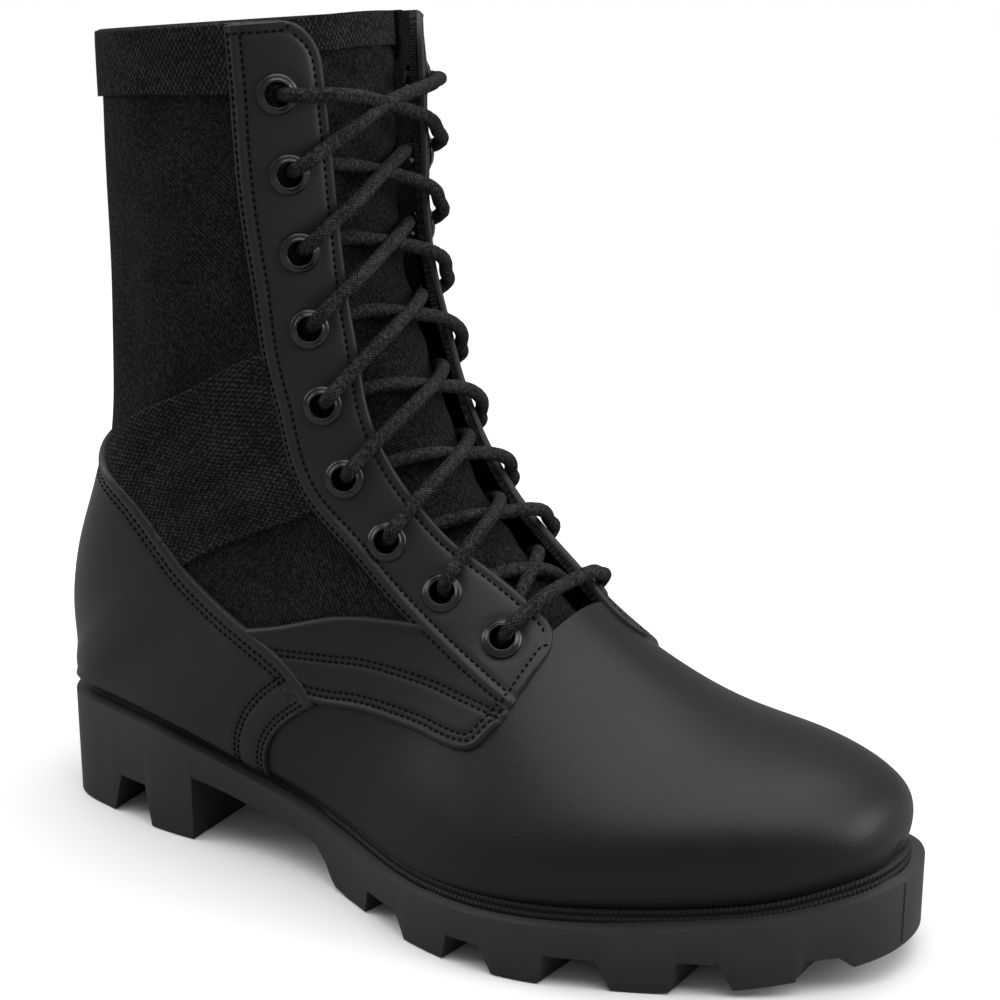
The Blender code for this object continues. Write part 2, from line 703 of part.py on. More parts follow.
eyestay_rows = (0.0, 0.015, 0.03, 0.045, *np.linspace(0.06, 1, 16))
quarter_us, quarter_vs = tuple(np.linspace(0, 1, 9)), tuple(np.linspace(0, 1, 7))
ankle_us, ankle_vs = tuple(np.linspace(0, 1, 7)), tuple(np.linspace(0, 1, 9))
for side, label in ((-1, "lateral"), (1, "medial")):
    overlay(f"eyestay_{label}", eyestay_at, eyestay_rows, (0.0, 0.33, 0.66, 1.0), (side,), HIDE, LEATHER)

    seam = SEAM_GAP / profile_length(12, side)
    quarter_rear = along([QUARTER_LOW[0], (11.4, 0.333 + 2 * seam), QUARTER_HIGH[0]])
    quarter_front = along([QUARTER_LOW[-1], (8.1, back_share(8.1, side, SEAM_GAP) - 0.02),
                           (9.2, back_share(9.2, side, SEAM_GAP)), (10.2, back_share(10.2, side, SEAM_GAP)),
                           QUARTER_HIGH[-1]])
    quarter_at = between(along(QUARTER_LOW), along(QUARTER_HIGH), quarter_rear, quarter_front)
    overlay(f"quarter_{label}", lambda u, v, side: quarter_at(u, v), quarter_us, quarter_vs, (side,), HIDE, LEATHER)

    low, high = [list(row) for row in ANKLE_LOW], [list(row) for row in ANKLE_HIGH]
    low[-1][1] = back_share(low[-1][0], side, SEAM_GAP)
    high[-1][1] = back_share(high[-1][0], side, SEAM_GAP)
    rear = [low[0]] + [(t, float(counter_curve(t)) + 2 * seam) for t in (15.4, 16.4, 17.4, 18.3)] + [high[0]]
    front = [(t, back_share(t, side, SEAM_GAP)) for t in np.linspace(low[-1][0], high[-1][0], 6)]
    ankle_at = between(along(low), along(high), along(rear), along(front))
    overlay(f"ankle_band_{label}", lambda u, v, side: ankle_at(u, v), ankle_us, ankle_vs, (side,), CANVAS, WEBBING)


def counter_at(u, v, side):
    low = foot_share(u) - 0.012 if u <= HEEL_TURN else 0.0
    return u, low + (float(counter_curve(u)) - low) * v


overlay("counter", counter_at, (COUNTER_FRONT, 11.4, 12.1, 12.9, 13.7, 14.6, 15.4, 16.0, 16.2, 16.7, 17.3, 18.0,
                                18.7, 19.3, 19.8, 20.2),
        (0.0, 0.33, 0.66, 1.0), (-1, 1), HIDE, LEATHER, lambda u, v: u > HEEL_TURN and v == 0)

collar_curve = along(COLLAR_LOW)


def collar_at(u, v, side):
    section = float(collar_curve(u)[0])
    section += (COLLAR + 0.1 - section) * v
    return section, u * back_share(section, side, SEAM_GAP)


overlay("collar_band", collar_at, tuple(np.linspace(0, 1, 13)), (0.0, 0.5, 1.0), (-1, 1), CANVAS, WEBBING,
        lambda u, v: u == 0)


def tongue_depth(section):
    """How deep the tongue's face lies under the skin: close under the vamp, then clear of the lace."""
    turn = np.clip((section - TONGUE_ROOT) / 1.3, 0, 1)
    return -(UPPER_WALL + TONGUE_GAP + (LACE_ROOM - TONGUE_GAP) * turn * turn * (3 - 2 * turn))


def tongue_at(u, v, side):
    edge = gap_share(round(u, 6), side) - TONGUE_UNDERLAP / profile_length(u, side)
    return u, 1 - (1 - edge) * v


tongue_rows = (TONGUE_ROOT, 7.7, 8.1, 8.6, 9.2, *np.linspace(10, COLLAR, 13), COLLAR + TONGUE_TOP)
tongue = place("tongue", sheet("tongue", tongue_at, tongue_rows, (0.0, 0.33, 0.66, 1.0), (-1, 1),
                               tongue_depth, lambda u, v: v == 0), CANVAS)
thicken(tongue, TONGUE_WALL, -1)


def eyelet_places(side):
    """Sections of the eyelets, evenly spaced along the flap, first at the collar."""
    sections = np.linspace(THROAT_START, COLLAR, 60)
    line = np.array([skin(t, flap_offset(t, side, EYELET_INSET), side) for t in sections])
    path = np.concatenate([[0], np.cumsum(np.linalg.norm(np.diff(line, axis=0), axis=1))])
    wanted = np.linspace(path[-1] - EYELET_FIRST, EYELET_LAST, EYELETS)
    return np.interp(wanted, path, sections)


EYELET_SECTIONS = {side: eyelet_places(side) for side in (-1, 1)}


def ring_mesh(name):
    """Turned eyelet: a domed rim round a flared hole, on its own Z axis."""
    rim = EYELET_RADIUS - EYELET_HOLE
    profile_points = [(EYELET_RADIUS, 0.0), (EYELET_HOLE, 0.0), (EYELET_HOLE, EYELET_HEIGHT * 0.6),
                      (EYELET_HOLE + 0.4 * rim, EYELET_HEIGHT), (EYELET_RADIUS, EYELET_HEIGHT * 0.4)]
    size = len(profile_points)
    mesh = bpy.data.meshes.new(name)
    mesh.from_pydata([(x, 0, z) for x, z in profile_points], [(k, (k + 1) % size) for k in range(size)], [])
    return mesh


ring = ring_mesh("eyelet")
for side, label in ((-1, "lateral"), (1, "medial")):
    for number, section in enumerate(EYELET_SECTIONS[side]):
        share = flap_offset(section, side, EYELET_INSET)
        seat = skin_lifted(section, share, side, OVERLAY_GAP + LEATHER + EYELET_GAP)
        axis = Vector(seat - skin(section, share, side)).normalized()
        eyelet = place(f"eyelet_{label}_{number + 1}", ring.copy(), ENAMEL)
        eyelet.matrix_local = Matrix.Translation(seat) @ axis.to_track_quat("Z", "X").to_matrix().to_4x4()
        turn = eyelet.modifiers.new("turn", "SCREW")
        turn.steps = turn.render_steps = 8
        turn.angle = math.tau
        turn.screw_offset = 0
        turn.use_merge_vertices = True
        turn.merge_threshold = 0.00005

# Heights of the lace's middle over the skin: at an eyelet, over the flaps and under them
LACE_SEATED = OVERLAY_GAP + LEATHER + EYELET_GAP + EYELET_HEIGHT + LACE_RADIUS + LACE_CLEARANCE
LACE_OVER = OVERLAY_GAP + LEATHER + LACE_RADIUS + LACE_CLEARANCE
LACE_UNDER = -(UPPER_WALL + LACE_RADIUS + LACE_CLEARANCE)
LACE_CROSSED = -0.0035     # where two runs cross between the flaps
LACE_SPANNED = 0.0008      # where a run goes over both flaps


def lace_run(name, low, high, side, starts_over, ends_over):
    """Lace from the eyelet at section low on one side to the one at section high on the other, as a closed mesh."""
    start, end = flap_offset(low, side, EYELET_INSET), flap_offset(high, -side, EYELET_INSET)
    reach = 2 * (1 - start) * profile_length((low + high) / 2, side)
    edge = EYELET_INSET / reach
    if starts_over != ends_over:
        crossing = LACE_CROSSED
    else:
        crossing = LACE_SPANNED if starts_over else LACE_UNDER
    heights, places = [], []
    for over, mirrored in ((starts_over, False), (ends_over, True)):
        if over:
            half = [(0.0, LACE_SEATED), (0.78 * EYELET_RADIUS / reach, LACE_SEATED - 0.0001),
                    (1.35 * EYELET_RADIUS / reach, LACE_OVER + 0.0006), (1.05 * edge, LACE_OVER + 0.0002),
                    (0.25 + 0.5 * edge, (LACE_OVER + crossing) / 2)]
        else:
            half = [(0.15 * edge, LACE_UNDER), (0.7 * edge, LACE_UNDER), (1.2 * edge, LACE_UNDER),
                    (0.25 + 0.5 * edge, (2 * LACE_UNDER + crossing) / 3)]
        if mirrored:
            half = [(1 - share, height) for share, height in half[::-1]]
        else:
            half.append((0.5, crossing))
        places += [share for share, _ in half]
        heights += [height for _, height in half]
    points = []
    for where, height in zip(places, heights):
        section = low + (high - low) * where
        if where <= 0.5:
            points.append(skin_lifted(section, start + (1 - start) * 2 * where, side, height))
        else:
            points.append(skin_lifted(section, 1 - (1 - end) * (2 * where - 1), -side, height))
    curve = bpy.data.curves.new(name, "CURVE")
    curve.dimensions = "3D"
    curve.bevel_depth = LACE_RADIUS
    curve.bevel_resolution = 1
    curve.use_fill_caps = True
    spline = curve.splines.new("POLY")
    spline.points.add(len(points) - 1)
    for spot, point in zip(spline.points, points):
        spot.co = (*point, 1)
    guide = bpy.data.objects.new(name, curve)
    bpy.context.scene.collection.objects.link(guide)
    bpy.context.view_layer.update()
    mesh = bpy.data.meshes.new_from_object(guide.evaluated_get(bpy.context.evaluated_depsgraph_get()))
    bpy.data.objects.remove(guide, do_unlink=True)
    work = bmesh.new()
    work.from_mesh(mesh)
    bmesh.ops.remove_doubles(work, verts=work.verts, dist=0.00005)
    bmesh.ops.recalc_face_normals(work, faces=work.faces)
    work.to_mesh(mesh)
    work.free()
    mesh.name = name
    return mesh


for number in range(EYELETS - 1, 0, -1):
    lows = {side: EYELET_SECTIONS[side][number] for side in (-1, 1)}
    highs = {side: EYELET_SECTIONS[side][number - 1] for side in (-1, 1)}
    starts_over, ends_over = number < EYELETS - 1, number == 1
    crossing = place(f"lace_crossing_{number}", lace_run(f"lace_{number}_a", lows[-1], highs[1], -1,
                                                        starts_over, ends_over), CORD)
    cut(crossing, lace_run(f"lace_{number}_b", lows[1], highs[-1], 1, starts_over, ends_over), "UNION")
last = {side: EYELET_SECTIONS[side][-1] for side in (-1, 1)}
place("lace_bar", lace_run("lace_bar", last[-1], last[1], -1, True, True), CORD)

# The origin lies under the middle of the whole boot
bpy.context.view_layer.update()
graph = bpy.context.evaluated_depsgraph_get()
spots = np.array([tuple(thing.matrix_world @ Vector(spot))
                  for thing in boot.objects for spot in thing.evaluated_get(graph).bound_box])
ORIGIN = -np.array([*(spots.min(0) + spots.max(0))[:2] / 2, spots.min(0)[2]])
root = bpy.data.objects.new("jungle_boot_origin", None)
boot.objects.link(root)
root.location = ORIGIN
for thing in [*boot.objects, *cutters.objects]:
    if thing != root:
        thing.parent = root
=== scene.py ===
import math

import bmesh
import bpy
import numpy as np
from mathutils import Matrix, Vector


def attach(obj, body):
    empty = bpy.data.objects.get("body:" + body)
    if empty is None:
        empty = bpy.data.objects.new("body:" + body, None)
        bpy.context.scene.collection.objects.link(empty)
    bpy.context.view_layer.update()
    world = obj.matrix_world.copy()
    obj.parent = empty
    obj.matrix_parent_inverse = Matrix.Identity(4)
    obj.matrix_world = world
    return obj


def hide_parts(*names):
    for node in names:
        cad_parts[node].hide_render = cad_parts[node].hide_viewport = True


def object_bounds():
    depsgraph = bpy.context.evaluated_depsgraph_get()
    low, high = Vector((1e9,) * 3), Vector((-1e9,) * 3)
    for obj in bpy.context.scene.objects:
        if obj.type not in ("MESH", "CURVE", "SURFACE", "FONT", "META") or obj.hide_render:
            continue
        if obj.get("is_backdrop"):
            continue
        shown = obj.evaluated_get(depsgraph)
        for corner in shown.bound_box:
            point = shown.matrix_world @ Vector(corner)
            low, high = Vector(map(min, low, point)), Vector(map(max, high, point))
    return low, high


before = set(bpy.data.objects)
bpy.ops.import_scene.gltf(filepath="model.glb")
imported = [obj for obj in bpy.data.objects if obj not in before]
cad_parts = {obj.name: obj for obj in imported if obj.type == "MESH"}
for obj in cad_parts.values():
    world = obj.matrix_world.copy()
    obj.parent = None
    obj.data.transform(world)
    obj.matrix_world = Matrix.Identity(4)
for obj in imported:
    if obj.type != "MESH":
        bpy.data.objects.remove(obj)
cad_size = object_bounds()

# Camera
# A three-quarter view from the outer side, a little above the boot, on a long lens.
CAMERA_AT = (0.33888, -0.50082, 0.3018)
CAMERA_TURN, CAMERA_DIP = 32.5, 16.5       # degrees
camera = bpy.data.objects.new("product_camera", bpy.data.cameras.new("product_camera"))
bpy.context.scene.collection.objects.link(camera)
camera.location = CAMERA_AT
camera.rotation_euler = (math.radians(90 - CAMERA_DIP), 0, math.radians(CAMERA_TURN))
camera.data.sensor_width = 36
camera.data.lens = 71.9
bpy.context.scene.camera = camera

# Studio
# A seamless white floor and background, with one large soft light overhead and a smaller one on each
# side, as a shop photograph has. The camera sees floor and walls white, and the boot sees them dimmer.
FLOOR_SIZE, FLOOR_HEIGHT = 2.0, -0.0004
PAPER = (0.95, 0.95, 0.95)
FLOOR_BOUNCE, WALL_LIGHT = 0.35, 0.30
LIGHT_AIM = (0, 0, 0.12)
LIGHTS = (("light_above", (0.25, 0.2, 2.5), 3.2, 75.0),      # place, size, watts
          ("light_right", (1.4, 0.55, 0.7), 1.0, 13.0),
          ("light_left", (-1.2, -0.35, 0.8), 1.0, 9.0))


def surface(name, colour, roughness, specular=0.5):
    """New Principled material: its nodes, its links and its shader."""
    material = bpy.data.materials.new(name)
    material.use_nodes = True
    shader = material.node_tree.nodes["Principled BSDF"]
    shader.inputs["Base Color"].default_value = (*colour, 1)
    shader.inputs["Roughness"].default_value = roughness
    shader.inputs["Specular IOR Level"].default_value = specular
    return material, material.node_tree.nodes, material.node_tree.links, shader


def added(nodes, kind, **values):
    """New node of a material with its inputs set; an underscore in a name stands for a space."""
    node = nodes.new(kind)
    for name, value in values.items():
        node.inputs[name.replace("_", " ")].default_value = value
    return node


bpy.ops.object.select_all(action="DESELECT")
bpy.ops.mesh.primitive_plane_add(size=FLOOR_SIZE, location=(0, 0, FLOOR_HEIGHT))
floor = bpy.context.object
floor.name = "studio_floor"
material, nodes, links, shader = surface("white paper", PAPER, 0.9, 0.1)
seen = nodes.new("ShaderNodeLightPath")
tone = nodes.new("ShaderNodeMix")
tone.data_type = "RGBA"
tone.inputs["A"].default_value = (FLOOR_BOUNCE, FLOOR_BOUNCE, FLOOR_BOUNCE, 1)
tone.inputs["B"].default_value = (*PAPER, 1)
links.new(seen.outputs["Is Camera Ray"], tone.inputs["Factor"])
links.new(tone.outputs["Result"], shader.inputs["Base Color"])
floor.data.materials.append(material)
floor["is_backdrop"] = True

for name, place, size, energy in LIGHTS:
    lamp = bpy.data.objects.new(name, bpy.data.lights.new(name, "AREA"))
    lamp.data.size = size
    lamp.data.energy = energy
    lamp.location = place
    lamp.rotation_euler = (Vector(LIGHT_AIM) - Vector(place)).to_track_quat("-Z", "Y").to_euler()
    bpy.context.scene.collection.objects.link(lamp)
    lamp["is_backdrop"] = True
world = bpy.data.worlds.new("white studio")
world.use_nodes = True
nodes, links = world.node_tree.nodes, world.node_tree.links
nodes["Background"].inputs["Color"].default_value = (1, 1, 1, 1)
seen = nodes.new("ShaderNodeLightPath")
strength = added(nodes, "ShaderNodeMapRange", To_Min=WALL_LIGHT, To_Max=1.0)
links.new(seen.outputs["Is Camera Ray"], strength.inputs["Value"])
links.new(strength.outputs["Result"], nodes["Background"].inputs["Strength"])
bpy.context.scene.world = world
bpy.context.scene.view_settings.view_transform = "Standard"

# Vamp
# One piece of smooth black full-grain leather, lasted over the toe and stitched to the welt. Its rear
# wings run on under the side panels and the heel counter. All other pieces are placed on the same last.
LENGTH = 0.308             # of the outsole
BALL_WIDTH = 0.118
HEEL_EDGE, FORE_EDGE = 0.038, 0.0176       # top edge of the outsole at the heel and at the ball
TOE_SPRING, SPRING_START = 0.0092, 0.805
WELT_HEIGHT, FIT_GAP = 0.0040, 0.0003
FEATHER_INSET = (0.0012, 0.0065)           # upper behind the sole's edge, at the heel and at the toe
BOOT_HEIGHT, INSTEP_HEIGHT, SHAFT_WIDTH = 0.2710, 0.0960, 0.0920
BOOT_ORIGIN = np.array((-0.15162185, 0.00508006, 0.0))

# Share of the length, then lateral and medial reach as shares of the ball width
OUTLINE = (
    (0.000, 0.000, 0.000), (0.013, 0.176, 0.170), (0.040, 0.277, 0.268), (0.100, 0.329, 0.320),
    (0.200, 0.364, 0.326), (0.320, 0.348, 0.309), (0.440, 0.394, 0.318), (0.540, 0.498, 0.369),
    (0.630, 0.544, 0.420), (0.710, 0.520, 0.449), (0.790, 0.437, 0.456), (0.860, 0.347, 0.432),
    (0.920, 0.254, 0.377), (0.965, 0.142, 0.301), (0.990, 0.051, 0.199), (1.000, -0.076, 0.076),
)
# Top edge of the outsole: share of the length, then height between the ball (0) and the heel (1)
EDGE_LINE = (
    (0.000, 0.97), (0.100, 1.00), (0.215, 0.85), (0.315, 0.48), (0.370, 0.30), (0.464, 0.075),
    (0.540, 0.000), (0.660, 0.025), (0.790, 0.095), (0.850, 0.165), (0.920, 0.325), (1.000, 0.635),
)
# Sections from the toe to the heel's lower edge
FOOT_SECTIONS = (
    # foot, front, rise, half, widest, low, high, ridge, gap
    (1.0000, 0.9790, 0.380, 0.000, 0.35, 2.0, 2.0, 0.076, 0.000),
    (0.9930, 0.9790, 0.448, 0.105, 0.35, 2.0, 2.0, 0.074, 0.010),
    (0.9724, 0.9680, 0.526, 0.205, 0.35, 2.0, 2.0, 0.070, 0.030),
    (0.9354, 0.9440, 0.580, 0.285, 0.34, 2.0, 2.0, 0.062, 0.055),
    (0.8852, 0.9120, 0.620, 0.352, 0.33, 2.0, 2.0, 0.050, 0.080),
    (0.8206, 0.8640, 0.655, 0.410, 0.31, 2.0, 2.0, 0.038, 0.100),
    (0.7447, 0.8050, 0.690, 0.448, 0.29, 2.0, 1.9, 0.030, 0.113),
    (0.6627, 0.7354, 0.762, 0.457, 0.27, 2.0, 1.9, 0.028, 0.120),
    (0.5745, 0.6542, 0.915, 0.422, 0.26, 2.0, 1.9, 0.032, 0.123),
    (0.4883, 0.6071, 1.046, 0.378, 0.28, 2.0, 2.0, 0.038, 0.136),
    (0.4063, 0.5682, 1.141, 0.354, 0.32, 2.0, 2.2, 0.042, 0.154),
    (0.3242, 0.5357, 1.234, 0.347, 0.36, 2.0, 2.3, 0.045, 0.178),
    (0.2350, 0.5081, 1.339, 0.347, 0.40, 2.0, 2.4, 0.047, 0.195),
    (0.1416, 0.4860, 1.453, 0.347, 0.43, 2.0, 2.5, 0.048, 0.208),
    (0.0656, 0.4670, 1.578, 0.350, 0.46, 2.0, 2.6, 0.048, 0.217),
    (0.0175, 0.4480, 1.708, 0.352, 0.48, 2.2, 2.7, 0.048, 0.214),
    (0.0000, 0.4312, 1.844, 0.354, 0.50, 2.3, 2.8, 0.048, 0.205),
)
# Sections from there up to the collar
SHAFT_SECTIONS = (
    # back, back_rise, front, front_rise, half, widest, low, high, shift, ridge, gap
    (-0.0080, 0.0627, 0.4172, 0.1378, 0.455, 0.50, 2.2, 2.8, 0.000, 0.062, 0.252),
    (0.0070, 0.1558, 0.4075, 0.2646, 0.462, 0.50, 2.2, 2.8, 0.010, 0.062, 0.247),
    (0.0390, 0.2602, 0.4010, 0.3915, 0.472, 0.50, 2.2, 2.8, 0.025, 0.062, 0.249),
    (0.0620, 0.3819, 0.3980, 0.5127, 0.480, 0.50, 2.2, 2.8, 0.040, 0.062, 0.256),
    (0.0685, 0.5153, 0.3960, 0.6338, 0.487, 0.50, 2.2, 2.8, 0.052, 0.062, 0.263),
    (0.0700, 0.6660, 0.3938, 0.7549, 0.493, 0.50, 2.2, 2.8, 0.060, 0.062, 0.270),
    (0.0720, 0.8226, 0.3910, 0.8760, 0.498, 0.50, 2.2, 2.8, 0.062, 0.062, 0.277),
    (0.0740, 0.9692, 0.3870, 1.0000, 0.500, 0.50, 2.2, 2.8, 0.062, 0.062, 0.285),
)
HEEL_TURN = len(FOOT_SECTIONS) - 1
COLLAR = HEEL_TURN + len(SHAFT_SECTIONS)
FLAP_CORNER, CORNER_SECTIONS = 0.011, 1.1


def smooth_curve(keys, rows):
    """Natural cubic spline through a table's rows, as a function of its key."""
    keys, rows = np.asarray(keys, float), np.asarray(rows, float)
    last = len(keys) - 1
    step = np.diff(keys)
    matrix, wanted = np.eye(last + 1), np.zeros_like(rows)
    for i in range(1, last):
        matrix[i, i - 1:i + 2] = step[i - 1], 2 * (step[i - 1] + step[i]), step[i]
        wanted[i] = 6 * ((rows[i + 1] - rows[i]) / step[i] - (rows[i] - rows[i - 1]) / step[i - 1])
    bend = np.linalg.solve(matrix, wanted)

    def at(key):
        i = np.clip(np.searchsorted(keys, key) - 1, 0, last - 1)
        near, far = (keys[i + 1] - key) / step[i], (key - keys[i]) / step[i]
        width = step[i]
        if rows.ndim > 1 and np.ndim(key):
            near, far, width = near[..., None], far[..., None], width[..., None]
        return (near * rows[i] + far * rows[i + 1]
                + ((near**3 - near) * bend[i] + (far**3 - far) * bend[i + 1]) * width**2 / 6)

    return at


outline_curve = smooth_curve(np.arccos(1 - 2 * np.array([row[0] for row in OUTLINE])),
                             [row[1:] for row in OUTLINE])
edge_curve = smooth_curve([row[0] for row in EDGE_LINE], [row[1] for row in EDGE_LINE])


def edge_height(x):
    """Height of the outsole's top edge at x."""
    return FORE_EDGE + (HEEL_EDGE - FORE_EDGE) * edge_curve(np.clip(np.asarray(x, float) / LENGTH, 0, 1))


def outline(inset):
    """Lateral and medial edge of the sole moved in by inset: x, then y, from heel to toe."""
    wound = np.linspace(0, math.pi, 1201)
    x = LENGTH * (1 - np.cos(wound)) / 2
    reach = BALL_WIDTH * outline_curve(wound)
    depth = (inset[0] + (inset[1] - inset[0]) * x / LENGTH)[:, None]
    sides = []
    for y, turn in ((-reach[:, 0], 1), (reach[:, 1], -1)):
        along = np.stack([np.gradient(x), np.gradient(y)], 1)
        along[0], along[-1] = (0, -turn), (0, turn)
        along /= np.linalg.norm(along, axis=1)[:, None]
        moved = np.stack([x, y], 1) + depth * turn * np.stack([-along[:, 1], along[:, 0]], 1)
        sides.append(moved[np.argsort(moved[:, 0])])
    return sides


def run_length(points):
    """Length along a line of points, from its start to each of them."""
    return np.concatenate([[0], np.cumsum(np.linalg.norm(np.diff(points, axis=0), axis=1))])


def spread(at, path, points):
    """Points of a line at these lengths along it."""
    return np.stack([np.interp(at, path, points[:, axis]) for axis in range(points.shape[1])], -1)


def seat_height(x):
    """Height at which the upper's lower edge sits on the welt."""
    return float(edge_height(x)) + WELT_HEIGHT + 4 * FIT_GAP


feather = outline(FEATHER_INSET)
heel_end, instep_end = seat_height(0), FOOT_SECTIONS[-1][2] * INSTEP_HEIGHT
foot_rows = []
for foot, front, rise, half, widest, low, high, ridge, gap in FOOT_SECTIONS:
    x = feather[0][0, 0] + foot * (feather[0][-1, 0] - feather[0][0, 0])
    foot_rows.append((x, seat_height(x), 0.0, front * LENGTH, rise * INSTEP_HEIGHT, ridge * BALL_WIDTH,
                      half * BALL_WIDTH, widest, low, high, gap * BALL_WIDTH))
shaft_rows = []
for back, low_end, front, high_end, half, widest, low, high, shift, ridge, gap in SHAFT_SECTIONS:
    shaft_rows.append((back * LENGTH, heel_end + low_end * (BOOT_HEIGHT - heel_end), shift * SHAFT_WIDTH,
                       front * LENGTH, instep_end + high_end * (BOOT_HEIGHT - instep_end),
                       ridge * SHAFT_WIDTH, half * SHAFT_WIDTH, widest, low, high, gap * SHAFT_WIDTH))
section_curve = smooth_curve(range(COLLAR + 1), foot_rows + shaft_rows)

SECTION_STEP, SHARE_STEPS = 0.02, 200
SECTIONS = np.arange(0, COLLAR + 0.5, SECTION_STEP)
SHARES = np.linspace(0, 1, SHARE_STEPS + 1)
TURN_ROW = round(HEEL_TURN / SECTION_STEP)


def half_section(section, side):
    """Evenly spaced points of one half section, its length, and the share at which the laced gap starts."""
    low_x, low_z, low_y, high_x, high_z, high_y, half, widest, low, high, gap = section_curve(section)
    start = 0.0
    if section <= HEEL_TURN:
        low_z = seat_height(low_x)
        edges = [np.interp(low_x, line[:, 0], line[:, 1]) for line in feather]
        low_y, start = sum(edges) / 2, (edges[1] - edges[0]) / 2
        if section == 0:
            high_x, high_z, half = low_x, low_z, 0.0
    half = max(half, start)
    angle = np.linspace(0, math.pi / 2, 91)
    sine, cosine = np.sin(angle), np.cos(angle).clip(0)
    height = np.concatenate([widest * (1 - cosine ** (2 / low)),
                             widest + (1 - widest) * sine[1:] ** (2 / high)])
    reach = np.concatenate([start + (half - start) * sine ** (2 / low), half * cosine[1:] ** (2 / high)])
    middle = low_y + (high_y - low_y) * height * height * (3 - 2 * height)
    points = np.stack([low_x + (high_x - low_x) * height, middle + side * reach,
                       low_z + (high_z - low_z) * height], 1)
    length = run_length(points)
    even = spread(SHARES * length[-1], length, points)
    off = np.abs(points[:, 1] - high_y)
    past = np.nonzero((off < gap) & (length > length[-1] / 2))[0]
    if not len(past) or not length[-1]:
        return even, length[-1], 1.0
    k = past[0]
    part = (off[k - 1] - gap) / (off[k - 1] - off[k])
    return even, length[-1], (length[k - 1] + part * (length[k] - length[k - 1])) / length[-1]


def smooth_share(value):
    """Share from 0 to 1 that starts and ends softly."""
    value = np.clip(value, 0, 1)
    return value * value * (3 - 2 * value)


def softened(grid, reach):
    """The same grid averaged over neighbouring sections, reach sections wide."""
    window = np.arange(-round(3 * reach / SECTION_STEP), round(3 * reach / SECTION_STEP) + 1)
    weights = np.exp(-0.5 * (window * SECTION_STEP / reach)**2)
    return sum(weight * grid[np.clip(np.arange(len(grid)) + step, 0, len(grid) - 1)]
               for weight, step in zip(weights / weights.sum(), window))


HEEL_TUCK = 0.0019         # how far the upper draws in above the welt at the heel
TUCK_HEIGHT, TUCK_END, TUCK_FADE = 0.0085, 0.11, 0.09      # height over which it fades, and where it ends
HEEL_SOFTENED = 0.45       # sections over which foot and shaft run into each other at the heel
last_points, last_normals, last_lengths, gap_shares = {}, {}, {}, {}
for side in (-1, 1):
    halves = [half_section(section, side) for section in SECTIONS]
    points = np.array([half[0] for half in halves])
    much = (smooth_share((SECTIONS - 13.8) / 1.2) * smooth_share((18.6 - SECTIONS) / 1.2))[:, None, None]
    much = much * (smooth_share(SHARES / 0.04) * smooth_share((0.8 - SHARES) / 0.3))[None, :, None]
    points = points + much * (softened(points, HEEL_SOFTENED) - points)
    rows, columns = np.arange(len(SECTIONS)), np.arange(len(SHARES))
    across = points[:, np.minimum(columns + 4, SHARE_STEPS)] - points[:, np.maximum(columns - 4, 0)]
    after, before = np.minimum(rows + 6, len(SECTIONS) - 1), np.maximum(rows - 6, 0)
    along = points[after] - points[before]
    after = np.where(rows < TURN_ROW, np.minimum(after, TURN_ROW), after)
    before = np.where(rows >= TURN_ROW, np.maximum(before, TURN_ROW), before)
    along[:, :4] = (points[after] - points[before])[:, :4]
    normals = np.cross(along, across) * side
    normals[:15] = normals[15]
    normals /= np.linalg.norm(normals, axis=2, keepdims=True).clip(1e-12)
    normals = normals + much * (softened(normals, 0.3) - normals)
    normals /= np.linalg.norm(normals, axis=2, keepdims=True).clip(1e-12)
    above_edge = points[..., 2] - edge_height(points[..., 0]) - WELT_HEIGHT
    tuck = HEEL_TUCK * np.exp(-(above_edge / TUCK_HEIGHT)**2)
    tuck = tuck * smooth_share((TUCK_END - points[..., 0]) / TUCK_FADE)
    points = points - tuck[..., None] * normals
    last_points[side], last_normals[side] = points, normals
    last_lengths[side] = np.array([half[1] for half in halves])
    gap_shares[side] = np.array([half[2] for half in halves])


def on_last(section, share, side, lift=0.0):
    """Points on the last, lifted off it: share 0 is the section's lower end and 1 the ridge."""
    section, share, lift = np.broadcast_arrays(np.asarray(section, float), share, lift)
    row = np.clip(section / SECTION_STEP, 0, len(SECTIONS) - 1.001)
    column = np.clip(share, 0, 1) * (SHARE_STEPS - 0.001)
    i, j = row.astype(int), column.astype(int)
    a, b = (row - i)[..., None], (column - j)[..., None]
    place, out = (((1 - a) * (1 - b) * grid[i, j] + a * (1 - b) * grid[i + 1, j]
                   + (1 - a) * b * grid[i, j + 1] + a * b * grid[i + 1, j + 1])
                  for grid in (last_points[side], last_normals[side]))
    return place + lift[..., None] * out


def width_of(section, side):
    """Length of a half section from its lower end to the ridge."""
    return np.interp(section, SECTIONS, last_lengths[side])


def flap_offset(section, side, distance):
    """Share that lies this far behind the laced gap's edge."""
    return np.interp(section, SECTIONS, gap_shares[side]) - distance / width_of(section, side)


def flap_share(section, side):
    """Share at which the flap's edge lies, with its corner rounded at the collar."""
    turn = np.clip((np.asarray(section, float) - COLLAR + CORNER_SECTIONS) / CORNER_SECTIONS, 0, 1)
    return flap_offset(section, side, FLAP_CORNER * (1 - np.sqrt(1 - turn**2)))


def across_both(section, share, lift=0.0):
    """Points over both sides of the last, lateral up to the ridge and medial down again."""
    lateral, medial = on_last(section, share[0], -1, lift), on_last(section, share[1], 1, lift)
    return np.concatenate([lateral, medial[:, ::-1]], 1)


def placed(name, mesh):
    """New object of the scene with this mesh."""
    piece = bpy.data.objects.new(name, mesh)
    bpy.context.scene.collection.objects.link(piece)
    return piece


